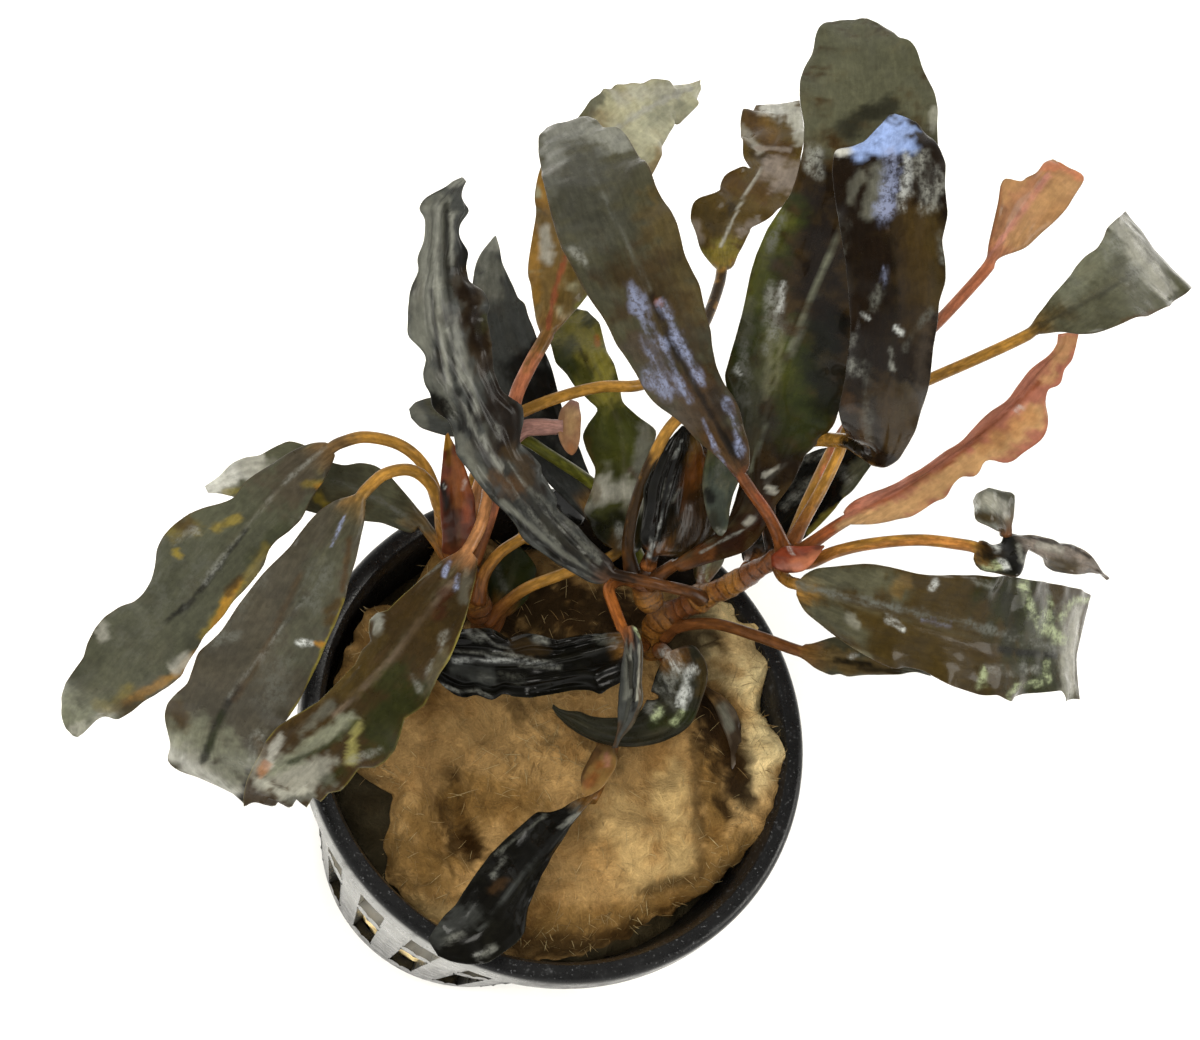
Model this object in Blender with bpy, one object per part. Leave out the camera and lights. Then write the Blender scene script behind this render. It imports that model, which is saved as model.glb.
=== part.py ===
"""Bucephalandra rooted in a rockwool plug in a small black net pot.

All sizes are millimetres until a mesh is made. The pot's axis is +Z, and the origin is the centre
of the flat underside of its base. Leaves and stems are laid out by where they are seen in the
picture: a table row holds the picture point and the height above the pot's rim, and place() turns
that into a point in space.
"""
import math

import bmesh
import bpy
from mathutils import Vector

MM = 0.001
TOUCH_GAP = 0.3
FOOT_GAP = 0.5

# Net pot
RIM_RADIUS = 25.0
POT_HEIGHT = 45.0
BASE_RADIUS = 16.0
WALL = 0.9
BASE_THICKNESS = 1.3
LIP_DROP = 3.0
LIP_REACH = 1.1
SLOTS = 20
BASE_DISC_RADIUS = 5.5
BASE_SLOT_OUTER = 13.0
SLOT_HEIGHTS = ((4.5, 18.5), (21.5, 36.0))

# Rockwool plug
PLUG_COLUMNS = 22
PLUG_TOP = POT_HEIGHT - 4.8
PLUG_GAP = 0.5
PLUG_BEVEL = 2.2

# Stems and leaves
RHIZOME_RADIUS = 1.25
RHIZOME_DEPTH = 9.0
PETIOLE_RADIUS = 0.58
BLADE_THICKNESS = 0.66
RING_POINTS = 8
STALK_STEP = 9.0
BLADE_STEP = 4.6
STALK_BEND = 36.0
BLADE_BEND = 60.0

# The view that the tables are read from: picture points per unit of slope, the picture's centre,
# the rim's centre as right, up and behind in the view (mm), and how the pot's axis leans in it.
VIEW_FOCAL = 2700.0
VIEW_CENTRE = (600.0, 520.0)
RIM_IN_VIEW = (-4.0, -19.9, -260.6)
POT_LEAN = (0.249, 0.362)

# Plain finishes: colour and roughness
BLACK_PLASTIC = ((0.012, 0.013, 0.015), 0.35)
ROCKWOOL = ((0.38, 0.22, 0.08), 0.95)
RHIZOME_BARK = ((0.20, 0.07, 0.018), 0.5)
SHEATH_RED = ((0.28, 0.07, 0.025), 0.4)
SHEATH_BROWN = ((0.20, 0.10, 0.04), 0.5)
SPATHE_CREAM = ((0.55, 0.38, 0.22), 0.5)
GREY_OLIVE = ((0.050, 0.055, 0.035), 0.3)
DARK_OLIVE = ((0.030, 0.032, 0.018), 0.22)
NEAR_BLACK = ((0.008, 0.010, 0.009), 0.18)
LEAF_GREEN = ((0.060, 0.085, 0.015), 0.3)
BROWN_OLIVE = ((0.100, 0.075, 0.020), 0.3)
PALE_OLIVE = ((0.200, 0.190, 0.110), 0.35)
YOUNG_ORANGE = ((0.420, 0.170, 0.070), 0.35)

# Creeping stems: picture x, picture y, height above the rim
RHIZOMES = {
    "rhizome_right": [(652, 646, -3.5), (658, 622, 0.5), (698, 600, 5.0), (740, 580, 9.5),
                      (768, 563, 13.2), (785, 553, 15.3)],
    "rhizome_left": [(484, 628, -3.8), (475, 600, 1.0), (465, 570, 5.0), (457, 549, 8.0)],
    "rhizome_front": [(608, 736, -5.0), (607, 750, -3.6), (604, 760, -2.6)],
}
RHIZOME_FORK = {
    "rhizome_middle": [(650, 604, 4.4), (646, 590, 6.0), (642, 574, 8.0)],
}

# Leaves. Stalk rows: picture x, picture y, height. Blade rows: picture x, picture y, height, width,
# turn, where a positive turn tips the right-hand margin, seen from base to tip, away from the viewer.
# tip is the rounded length at the end and point its shape: 1 is a straight taper, 2 a half ellipse.
LEAVES = {
    "leaf_far_left": dict(
        finish=GREY_OLIVE, waves=5, ruffle=0.7, tip=6, point=1.6,
        stalk=[(452, 557, 5.4), (442, 532, 8.8), (438, 500, 12), (424, 466, 14.3), (400, 445, 16.3),
               (365, 437, 17), (340, 443, 16.8)],
        blade=[(330, 449, 16.2, 1.6, 0), (290, 480, 15, 6.2, 10), (247, 525, 12.8, 8.6, 8),
               (205, 575, 9.5, 9.8, 5), (170, 618, 6, 10, 0), (135, 655, 2, 9, -5),
               (105, 690, -2, 8.2, -8), (80, 718, -5.8, 7.2, -5), (64, 738, -8.3, 6, 0)]),
    "leaf_left_middle": dict(
        finish=GREY_OLIVE, waves=5, ruffle=0.6, tip=5, point=1.8,
        stalk=[(456, 546, 9.6), (449, 530, 12), (438, 505, 14.6), (430, 484, 17), (410, 470, 19),
               (385, 474, 19.4), (367, 489, 19.2)],
        blade=[(360, 498, 19, 1.6, 0), (345, 521, 18.6, 4.8, -6), (322, 556, 17.6, 7.2, -8),
               (300, 596, 15.6, 9, -5), (273, 640, 12, 10, 0), (247, 682, 9, 10.8, 0),
               (226, 720, 5, 11, 4), (216, 752, 2, 9.8, 8), (223, 778, -0.4, 8, 5),
               (240, 796, -2.6, 6.5, 0)]),
    "leaf_left_inner": dict(
        finish=DARK_OLIVE, waves=6, ruffle=0.8, tip=3, point=2,
        stalk=[(463, 555, 7.4), (469, 522, 11), (479, 485, 14), (485, 468, 15), (489, 461, 16.4),
               (490, 466, 17.8), (489, 480, 18.4), (487, 500, 18.3), (481, 524, 17.8),
               (472, 543, 17.4)],
        blade=[(466, 552, 17.4, 1.6, 0), (450, 575, 17.6, 4.8, 6), (425, 605, 17.4, 7.6, 8),
               (398, 643, 16.2, 8.8, 6), (370, 681, 14.4, 9, 2), (340, 720, 12.8, 9.6, -4),
               (310, 756, 10.6, 9.4, -8), (287, 784, 8.2, 8.2, -6), (268, 809, 5.6, 7, 0)]),
    "leaf_left_behind": dict(
        finish=GREY_OLIVE, waves=4, ruffle=0.5, tip=5, point=1.3,
        stalk=[(462, 572, 3.6), (448, 558, 4.2), (436, 541, 5.2), (426, 528, 6)],
        blade=[(420, 520, 6.4, 1.6, 0), (398, 508, 7.4, 4.2, 0), (360, 492, 8.4, 6, -5),
               (310, 478, 8, 6.8, -8), (262, 472, 6.2, 5.8, -5), (225, 480, 4, 4.4, 0),
               (201, 490, 2.5, 3.4, 0)]),
    "leaf_long_wavy": dict(
        finish=DARK_OLIVE, waves=7, ruffle=0.9, tip=5, point=1.5,
        stalk=[(701, 598, 6.6), (690, 592, 9), (665, 586, 10.8), (635, 579, 11.6)],
        blade=[(608, 572, 12.2, 1.8, 0), (588, 560, 13.4, 3.6, 0), (565, 540, 16, 5, 10),
               (530, 500, 20.4, 6.6, 18), (500, 455, 24.4, 7.6, 22), (474, 405, 27.4, 8.8, 25),
               (446, 350, 30, 7.4, 25), (433, 290, 32, 6.4, 35), (437, 240, 33, 5.2, 38),
               (441, 208, 33, 4.4, 30), (470, 174, 32, 3, 20)]),
    "leaf_behind_wavy": dict(
        finish=NEAR_BLACK, waves=4, ruffle=0.4, tip=5, point=1.6,
        stalk=[(642, 572, 5.4), (630, 556, 3.8)],
        blade=[(616, 538, 3.4, 1.6, 0), (597, 508, 4.6, 3.2, 0), (578, 478, 6.2, 5, -8),
               (550, 430, 9, 6.4, -8), (527, 385, 11.2, 6.6, -10), (507, 330, 14, 6.6, -10),
               (494, 285, 16.6, 6, -8), (486, 255, 18, 5, 0), (492, 233, 18.6, 3, 0)]),
    "leaf_pale_top": dict(
        finish=PALE_OLIVE, waves=6, ruffle=0.8, tip=5, point=1.2,
        stalk=[(472, 560, 5.6), (485, 528, 8.4), (494, 500, 11), (506, 458, 15), (511, 428, 18),
               (516, 396, 20.4), (530, 365, 21.6)],
        blade=[(548, 332, 22, 1.6, 0), (556, 302, 22.2, 4.8, 5), (563, 250, 22.5, 7.2, 8),
               (577, 200, 22.5, 8.6, 5), (602, 154, 22, 9, 0), (636, 118, 20.5, 8, 0),
               (672, 96, 18, 5.6, 10), (706, 77, 15.2, 3.4, 20)]),
    "leaf_centre": dict(
        finish=GREY_OLIVE, waves=7, ruffle=0.5, tip=7, point=2.2,
        stalk=[(783, 548, 17.6), (776, 530, 19.6), (765, 510, 21.5), (752, 492, 23.2)],
        blade=[(739, 472, 24.8, 1.8, 0), (724, 445, 26.6, 3.8, 0), (700, 404, 29, 6.2, -5),
               (672, 350, 32, 9.2, -8), (646, 292, 34.5, 11, -5), (622, 236, 35.5, 10.8, 0),
               (602, 186, 34.5, 10, 4), (585, 148, 31.5, 9, 6), (566, 118, 28, 7.6, 8)]),
    "leaf_top_right": dict(
        finish=LEAF_GREEN, waves=6, ruffle=0.6, tip=11, point=2,
        stalk=[(648, 586, 7.4), (662, 573, 9), (685, 558, 11.2), (720, 535, 12), (742, 510, 13.2)],
        blade=[(750, 490, 14.4, 1.8, 0), (752, 464, 15.8, 3.8, 0), (761, 425, 18.6, 6.6, 5),
               (782, 366, 24, 9.8, 8), (810, 298, 30.5, 11.4, 8), (838, 232, 36.5, 12.2, 5),
               (858, 170, 40.5, 12.4, 0), (866, 115, 42.4, 12.2, -4), (868, 62, 42.4, 11.4, -6),
               (862, 18, 41, 10, -8)]),
    "leaf_top_right_front": dict(
        finish=DARK_OLIVE, waves=6, ruffle=0.5, tip=7, point=1.9,
        stalk=[(776, 554, 12.4), (769, 524, 11.8), (771, 486, 12.4), (788, 452, 14.6),
               (812, 440, 18), (832, 440, 21), (850, 442, 24.5)],
        blade=[(866, 452, 28, 2, 0), (882, 454, 31, 4, 0), (886, 430, 35, 6.4, 0),
               (886, 390, 39.5, 7.6, 5), (893, 340, 43.5, 8, 8), (896, 300, 46, 8.4, 5),
               (893, 240, 48.5, 9.2, 0), (890, 195, 49.3, 10, 0), (887, 150, 49, 10.4, 0),
               (889, 105, 47.4, 9, 0)]),
    "leaf_young_upper": dict(
        finish=YOUNG_ORANGE, waves=2, ruffle=0.3, tip=1.6, point=2.4,
        stalk=[(791, 545, 14), (806, 505, 14), (838, 440, 14), (872, 395, 18), (910, 350, 25),
               (940, 320, 30), (967, 291, 33.6)],
        blade=[(990, 264, 35.6, 1.6, 0), (1005, 238, 36.5, 3.6, 10), (1020, 213, 37.2, 5.8, 15),
               (1037, 188, 37.5, 7.4, 15), (1049, 170, 37.3, 7.4, 10), (1056, 158, 36.8, 7, 0)]),
    "leaf_grey_right": dict(
        finish=GREY_OLIVE, waves=2, ruffle=0.3, tip=1.6, point=2.4,
        stalk=[(791, 546, 16.8), (803, 522, 16.8), (821, 490, 17), (838, 455, 17.5),
               (850, 425, 18.6), (880, 402, 21.5), (928, 380, 25.5), (985, 355, 30)],
        blade=[(1031, 333, 32.8, 1.6, 0), (1060, 315, 34, 4.6, -8), (1090, 296, 34, 7, -10),
               (1118, 277, 33, 8.8, -5), (1140, 264, 31, 10, 0), (1153, 256, 28.6, 10.4, 0),
               (1158, 252, 26.4, 10, 0)]),
    "leaf_young_folded": dict(
        finish=YOUNG_ORANGE, waves=5, ruffle=0.4, tip=4, point=1.3, fold=38,
        stalk=[(796, 555, 17.4), (815, 541, 20), (835, 527, 22)],
        blade=[(850, 518, 23.4, 2.2, 0), (882, 500, 25.5, 3.8, 25), (920, 476, 28, 4.8, 30),
               (968, 444, 31.5, 5.6, 30), (1010, 409, 35, 6, 30), (1036, 376, 37.5, 5, 25),
               (1058, 349, 39.5, 3.6, 20), (1078, 331, 41, 2.4, 10)]),
    "leaf_crumpled_right": dict(
        finish=NEAR_BLACK, waves=3, ruffle=0.5, tip=4, point=1.1,
        stalk=[(796, 562, 15.6), (810, 562, 17.2), (835, 552, 19), (870, 544, 21.5),
               (920, 540, 23.5), (965, 545, 24.6)],
        blade=[(977, 548, 24.9, 2, 0), (990, 555, 25.2, 4.4, -20), (1008, 556, 25, 4.4, -30),
               (1024, 546, 24.5, 2.4, -30), (1042, 551, 23, 3.6, -15), (1066, 560, 21, 3.6, 0),
               (1090, 566, 18.5, 2.6, 0), (1112, 581, 15.2, 1.4, 0)]),
    "leaf_curled_right": dict(
        finish=NEAR_BLACK, waves=2, ruffle=0.4, tip=2, point=1.8,
        blade=[(1006, 535, 26.4, 2, 0), (1006, 524, 27.6, 2.2, 30), (999, 514, 28.4, 2.6, 60),
               (993, 505, 29.2, 3.6, 30), (985, 498, 29.4, 3.4, 0), (978, 492, 28.6, 2.4, -20)]),
    "leaf_big_right": dict(
        finish=DARK_OLIVE, waves=4, ruffle=0.6, tip=1.8, point=3,
        stalk=[(779, 565, 13.4), (782, 575, 15.6), (790, 582, 17.6)],
        blade=[(800, 585, 19, 2.2, 0), (830, 597, 20.2, 5.8, 10), (875, 612, 21, 8.8, 12),
               (925, 625, 20.6, 10, 10), (975, 638, 19, 11.4, 5), (1018, 646, 16.5, 11.8, 0),
               (1052, 651, 13, 11.2, -5), (1080, 655, 8.6, 10.4, -8)]),
    "leaf_under_big_right": dict(
        finish=GREY_OLIVE, waves=3, ruffle=0.3, tip=4, point=1.4,
        stalk=[(664, 636, -0.6), (678, 627, 2.4), (715, 624, 6.6), (760, 637, 9.4)],
        blade=[(803, 652, 10.6, 1.6, 0), (835, 657, 10.5, 4, 0), (880, 664, 9.5, 4.8, 0),
               (915, 670, 8, 3.8, 0), (933, 674, 6.8, 2.8, 0)]),
    "leaf_top_brown": dict(
        finish=BROWN_OLIVE, waves=4, ruffle=0.8, tip=3, point=1.4,
        stalk=[(460, 555, 6), (461, 530, 7.2), (470, 490, 10.4), (489, 445, 14.6),
               (505, 423, 16.2), (522, 412, 16.9), (560, 397, 17.4), (600, 387, 17.6),
               (640, 385, 17), (680, 365, 15), (705, 322, 12.6), (718, 288, 11)],
        blade=[(722, 268, 10.4, 1.6, 0), (722, 247, 10.4, 5, 0), (729, 217, 10, 8.4, 10),
               (747, 190, 9, 9, 10), (762, 165, 8, 7.2, 0), (775, 140, 7, 5.6, -20),
               (791, 107, 6, 4.2, -30)]),
    "leaf_green_centre": dict(
        finish=LEAF_GREEN, waves=4, ruffle=0.4, tip=3, point=1.6,
        stalk=[(487, 622, -1.2), (503, 606, 0.8), (525, 589, 3), (560, 575, 5.2), (598, 562, 7)],
        blade=[(617, 552, 8, 1.8, 0), (626, 528, 9, 4.6, 0), (624, 490, 10.8, 6.8, 0),
               (622, 440, 11.8, 7.6, 0), (608, 398, 13.4, 6, 0), (591, 360, 13.4, 6.4, 0),
               (585, 330, 12, 5.2, 0), (580, 310, 11, 4, 0)]),
    "leaf_edge_on": dict(
        finish=NEAR_BLACK, waves=3, ruffle=0.3, tip=4, point=1.4,
        stalk=[(648, 566, 10.2), (652, 555, 11.6)],
        blade=[(659, 542, 12, 1.8, 30), (664, 515, 13.4, 4.6, 50), (671, 480, 15.6, 5.8, 58),
               (681, 447, 18, 5.2, 58), (688, 426, 19.4, 3.6, 50)]),
    "leaf_black_in_pot": dict(
        finish=NEAR_BLACK, waves=5, ruffle=0.6, tip=5, point=1.6,
        stalk=[(643, 645, -1.6), (636, 642, 0.2)],
        blade=[(626, 642, 1.2, 2, 0), (600, 650, 1.9, 5, 0), (550, 661, 2.5, 6.6, -8),
               (500, 666, 2.8, 7.8, -10), (462, 662, 2.6, 7.2, -8), (440, 657, 2.2, 6, 0),
               (423, 652, 1.8, 4.8, 0)]),
    "leaf_hooked_in_pot": dict(
        finish=DARK_OLIVE, waves=3, ruffle=0.35, tip=6, point=1.2,
        stalk=[(660, 650, -0.6), (665, 652, 1.6)],
        blade=[(670, 658, 3, 2.8, 0), (683, 682, 3.6, 4.6, 18), (684, 708, 3, 4.4, 18),
               (664, 730, 2, 4.2, 12), (625, 736, 1, 4.2, 8), (588, 727, 0.4, 3.6, 0),
               (551, 703, 0, 2.8, 0)]),
    "leaf_narrow_in_pot": dict(
        finish=NEAR_BLACK, waves=2, ruffle=0.3, tip=5, point=1.3,
        stalk=[(636, 580, 6.6), (622, 579, 7.2), (609, 588, 8.2), (614, 607, 8.4)],
        blade=[(623, 630, 8.2, 1.4, 30), (632, 652, 7.9, 3.4, 60), (636, 684, 7.4, 4.6, 66),
               (630, 716, 6.2, 4.4, 66), (616, 748, 4, 3, 45)]),
    "leaf_over_rim": dict(
        finish=NEAR_BLACK, waves=4, ruffle=0.35, tip=3.5, point=1.7,
        stalk=[(603, 768, -2.4), (598, 786, -1.6)],
        blade=[(591, 800, -1, 2.2, 0), (563, 834, 0, 5.6, 0), (532, 872, 1.4, 6.8, 4),
               (506, 906, 2.6, 7.2, 4), (480, 932, 3.2, 7.2, 0), (455, 948, 3.4, 6.4, -4),
               (429, 950, 3.2, 5.4, -4)]),
    "leaf_thin_on_wool": dict(
        finish=BROWN_OLIVE, waves=2, ruffle=0.2, tip=5, point=1.3,
        stalk=[(664, 654, -2.6), (682, 668, -2.2)],
        blade=[(700, 686, -2, 2, 0), (722, 712, -1.8, 3.4, 0), (740, 745, -2, 3.8, 0),
               (753, 790, -2.6, 3.2, 0)]),
    "leaf_dark_behind_right": dict(
        finish=NEAR_BLACK, waves=3, ruffle=0.3, tip=4, point=1.6,
        stalk=[(748, 570, 8), (752, 560, 7)],
        blade=[(760, 546, 6.4, 2, 0), (780, 526, 7, 5.2, 0), (808, 501, 8.4, 7, 0),
               (840, 475, 10.4, 7, 0), (862, 458, 11.8, 5.6, 0), (877, 446, 12.6, 4.2, 0)]),
    "leaf_hanging_centre": dict(
        finish=GREY_OLIVE, waves=2, ruffle=0.2, tip=2, point=2,
        stalk=[(632, 572, 8.6), (628, 545, 11.4), (635, 505, 15), (653, 458, 19.2),
               (672, 425, 21.6), (695, 408, 23.2), (713, 413, 23)],
        blade=[(721, 430, 21.8, 1.6, 0), (722, 455, 20, 3, 0), (721, 485, 17.8, 3.4, 0),
               (720, 512, 16, 2.8, 0), (720, 537, 14.8, 2, 0)]),
    "leaf_round_behind_left": dict(
        finish=DARK_OLIVE, waves=2, ruffle=0.2, tip=2.5, point=2.2,
        stalk=[(641, 565, 7.4), (626, 530, 7.2), (613, 503, 7.8), (600, 490, 8),
               (586, 479, 8.6), (570, 468, 10), (548, 454, 11.8), (528, 441, 12.8), (508, 433, 12.5)],
        blade=[(490, 427, 12.6, 2.2, 0), (465, 418, 12.6, 4.2, 0), (440, 414, 12.6, 4.6, 0),
               (422, 413, 12.3, 4.6, 0), (406, 413, 12, 4.2, 0)]),
    "leaf_green_behind_stalks": dict(
        finish=LEAF_GREEN, waves=2, ruffle=0.2, tip=2, point=1.6,
        stalk=[(489, 632, -3), (496, 624, -2.6)],
        blade=[(501, 612, -2, 2, 0), (508, 592, -1, 4.2, 0), (514, 566, 0.4, 4.6, 0),
               (519, 547, 1.6, 3.4, 0)]),
    "leaf_hidden_dark": dict(
        finish=NEAR_BLACK, waves=2, ruffle=0.2, tip=3, point=1.6,
        stalk=[(478, 602, 3), (484, 575, 5.4), (500, 553, 7)],
        blade=[(524, 537, 7.4, 1.8, 0), (550, 519, 5.4, 4, 0), (570, 506, 3.2, 4.2, 0),
               (590, 494, 1.4, 3.4, 0)]),
    "leaf_striped_small": dict(
        finish=GREY_OLIVE, waves=2, ruffle=0.2, tip=3, point=1.5,
        stalk=[(703, 592, 4.6), (703, 586, 4.2)],
        blade=[(703, 578, 4.6, 1.8, 0), (708, 560, 5.4, 3, 0), (714, 535, 6.6, 3.2, 0),
               (720, 512, 7.4, 2.6, 0)]),
}

# Papery sheaths at the crowns, and the young flower with its stalk: rows as for blades
SHEATHS = {
    "crown_sheath_left": dict(
        finish=SHEATH_RED, fold=30, tip=4, point=1.2,
        blade=[(460, 553, 11.4, 1.6, 0), (459, 533, 14.4, 2.4, 0), (456, 500, 17.4, 2.4, 0),
               (452, 462, 20.4, 2.2, 0), (447, 432, 22, 1.6, 0)]),
    "crown_sheath_right": dict(
        finish=SHEATH_RED, fold=25, tip=3, point=1.4,
        blade=[(774, 561, 17.8, 1.4, 0), (787, 560, 19.2, 2.4, 0), (803, 557, 20.8, 2.6, 0),
               (824, 546, 23, 1.8, 0)]),
    "sheath_over_rim_leaf": dict(
        finish=SHEATH_BROWN, fold=20, tip=2, point=1.6,
        blade=[(607, 744, -1.4, 1.6, 0), (603, 760, -0.6, 2.6, 0), (594, 778, 0.2, 2.6, 0),
               (583, 797, 0.8, 1.8, 0)]),
    "spathe": dict(
        finish=SPATHE_CREAM, fold=20, tip=2, point=2,
        blade=[(574, 403, 15.2, 1, 0), (570, 415, 15.4, 2, 0), (569, 430, 15.6, 2.2, 0),
               (572, 455, 14.6, 1.6, 0)]),
}
FLOWER_STALK = [(466, 563, 3.8), (475, 532, 5.6), (484, 505, 8.4), (497, 466, 12.2),
                (510, 442, 14), (524, 429, 14.8), (540, 427, 15.2), (553, 427, 15.4)]
FLOWER_STALK_RADIUS = 0.72
FLOWER_STALK_SECTIONS = 9
FLOWER_PINK = ((0.45, 0.2, 0.15), 0.4)


def view_axes():
    """The view's right, up and towards-the-viewer directions in the part's frame."""
    lean_right, lean_up = POT_LEAN
    towards = math.sqrt(1 - lean_right ** 2 - lean_up ** 2)
    flat = math.sqrt(1 - lean_right ** 2)
    right = Vector((flat, 0, lean_right))
    up = Vector((-lean_right * lean_up / flat, towards / flat, lean_up))
    back = Vector((-lean_right * towards / flat, -lean_up / flat, towards))
    return right, up, back


VIEW_RIGHT, VIEW_UP, VIEW_BACK = view_axes()
VIEWER = (Vector((0, 0, POT_HEIGHT)) - VIEW_RIGHT * RIM_IN_VIEW[0] - VIEW_UP * RIM_IN_VIEW[1]
          - VIEW_BACK * RIM_IN_VIEW[2])


def place(x, y, height):
    """The point seen at picture point x, y at this height above the rim."""
    ray = (VIEW_RIGHT * (x - VIEW_CENTRE[0]) - VIEW_UP * (y - VIEW_CENTRE[1])) / VIEW_FOCAL - VIEW_BACK
    return VIEWER + ray * ((POT_HEIGHT + height - VIEWER.z) / ray.z)


def curve_through(rows):
    """A smooth curve through rows of numbers that start with a point: a function of 0 to 1."""
    reach = [0.0]
    for before, after in zip(rows, rows[1:]):
        reach.append(reach[-1] + math.dist(before[:3], after[:3]))

    def slope(index):
        low, high = max(index - 1, 0), min(index + 1, len(rows) - 1)
        return [(b - a) / (reach[high] - reach[low]) for a, b in zip(rows[low], rows[high])]

    slopes = [slope(index) for index in range(len(rows))]

    def at(fraction):
        distance = min(max(fraction, 0.0), 1.0) * reach[-1]
        index = min(max(k for k in range(len(rows)) if reach[k] <= distance), len(rows) - 2)
        span = reach[index + 1] - reach[index]
        t = (distance - reach[index]) / span
        a, b = 2 * t ** 3 - 3 * t ** 2 + 1, t ** 3 - 2 * t ** 2 + t
        c, d = 3 * t ** 2 - 2 * t ** 3, t ** 3 - t ** 2
        return [a * p + b * span * m + c * q + d * span * n for p, m, q, n in
                zip(rows[index], slopes[index], rows[index + 1], slopes[index + 1])]

    return at, reach[-1]


def smooth_step(value):
    value = min(max(value, 0.0), 1.0)
    return value * value * (3 - 2 * value)


def frame_at(at, fraction, turn):
    """The centre, the right-hand direction and the upper side's direction at a fraction of a curve."""
    step = 0.01
    centre = Vector(at(fraction)[:3])
    ahead = Vector(at(fraction + step)[:3]) - Vector(at(fraction - step)[:3])
    ahead.normalize()
    upper = VIEWER - centre
    upper -= ahead * upper.dot(ahead)
    upper.normalize()
    right = ahead.cross(upper)
    angle = math.radians(turn)
    return centre, right * math.cos(angle) - upper * math.sin(angle), \
        upper * math.cos(angle) + right * math.sin(angle)


def sections(at, length, start, end, step, bend):
    """Where to cut a stretch of a curve: every step at most, and closer where it bends."""
    fine = max(4, round((end - start) * length / 0.25))
    marks = [start + (end - start) * k / fine for k in range(fine)]
    stops, gone, last = [start], 0.0, None
    for mark in marks:
        ahead = Vector(at(mark + 0.004)[:3]) - Vector(at(mark - 0.004)[:3])
        gone += ahead.angle(last) if last else 0.0
        last = ahead
        used = (mark - stops[-1]) * length / step + math.degrees(gone) / bend
        if used >= 1 and (end - mark) * length > 0.4 * step:
            stops.append(mark)
            gone = 0.0
    return stops


def rounded_end(left, tip, point):
    """How much of the full width is there at this distance from the tip."""
    if left >= tip:
        return 1.0
    gone = 1 - left / tip
    return max((1 - gone ** point) ** (1 / point), 0.04)


def blade_shape(leaf, blade_length, blade_fraction, distance_left):
    """Half the width and half the thickness of a blade."""
    narrowing = rounded_end(distance_left, leaf["tip"], leaf["point"])
    swell = smooth_step(blade_fraction * blade_length / 9)
    half_thick = PETIOLE_RADIUS * (1 - swell) + 0.5 * BLADE_THICKNESS * swell
    return narrowing, half_thick * (0.45 + 0.55 * narrowing)


def leaf_rings(leaf, seed):
    """Cross-sections of one leaf from the foot of its stalk to its tip."""
    stalk = [(*place(*row), 2 * PETIOLE_RADIUS, leaf["blade"][0][4]) for row in leaf.get("stalk", [])]
    blade = [(*place(*row[:3]), *row[3:]) for row in leaf["blade"]]
    at, length = curve_through(stalk + blade)
    blade_length = curve_through(blade)[1]
    blade_start = 1 - blade_length / length
    tip_start = 1 - leaf["tip"] / length
    stops = sections(at, length, 0, blade_start, STALK_STEP, STALK_BEND) if stalk else []
    stops += sections(at, length, blade_start, tip_start, BLADE_STEP, BLADE_BEND)
    stops += [tip_start + (1 - tip_start) * part for part in (0, 0.5, 0.82, 1)]

    def ring(stop):
        values = at(stop)
        fraction = max(0.0, (stop - blade_start) / (1 - blade_start))
        narrowing, half_thick = blade_shape(leaf, blade_length, fraction, (1 - stop) * length)
        flat = smooth_step(fraction * blade_length / 6)
        half_width = max(0.5 * values[3] * narrowing, 0.15)
        if stop < blade_start:
            half_thick = PETIOLE_RADIUS
            half_width = PETIOLE_RADIUS
        centre, right, upper = frame_at(at, stop, values[4])
        rise = math.tan(math.radians(leaf.get("fold", 4)))
        points = []
        for across, bulge in RING_SHAPE:
            wave = math.sin(math.tau * leaf.get("waves", 0) * fraction + seed + (2.2 if across > 0 else 0))
            edge = abs(across) ** 1.6 * flat * narrowing
            lift = rise * abs(across) * half_width * flat + leaf.get("ruffle", 0) * wave * edge
            scallop = 1 + 0.04 * math.cos(math.tau * leaf.get("waves", 0) * fraction + seed) * flat
            points.append(centre + right * (across * half_width * scallop)
                          + upper * (bulge * half_thick + lift))
        return points

    return ring, stops


RING_SHAPE = [(-1, 0), (-0.62, 0.8), (0, 1), (0.62, 0.8), (1, 0), (0.62, -0.8), (0, -1), (-0.62, -0.8)]


def clear_of_stems(ring, stops, stems):
    """Drop the first sections of a leaf until it starts just off the stem that carries it."""
    def to_stretch(point, foot, head):
        along = head[0] - foot[0]
        part = min(max((point - foot[0]).dot(along) / along.length_squared, 0), 1)
        return (point - foot[0] - along * part).length - max(foot[1], head[1])

    def nearest(points):
        return min(to_stretch(point, foot, head)
                   for point in points for stem in stems for foot, head in zip(stem, stem[1:]))

    last = max(k for k, stop in enumerate(stops) if k == 0 or nearest(ring(stop)) < FOOT_GAP)
    low, high = stops[last], stops[last + 1]
    for _ in range(20):
        middle = (low + high) / 2
        if nearest(ring(middle)) < FOOT_GAP:
            low = middle
        else:
            high = middle
    rest = [stop for stop in stops[last + 1:] if stop > high + 0.008]
    return [ring(stop) for stop in [high] + rest]


def stem_curve(rows, rooted):
    """Centres and radii along a creeping stem, which starts in the wool if it is rooted."""
    points = [place(*row) for row in rows]
    if rooted:
        down = Vector((0, 0, -RHIZOME_DEPTH))
        points.insert(0, points[0] + down)
    at, length = curve_through([tuple(point) for point in points])
    count = max(5, round(length / 2.2))
    stem = []
    for k in range(count + 1):
        knob = 1 + 0.12 * math.sin(2.4 * k)
        taper = 1 - 0.45 * (k / count) ** 6
        stem.append((Vector(at(k / count)), RHIZOME_RADIUS * knob * taper))
    return stem


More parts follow.
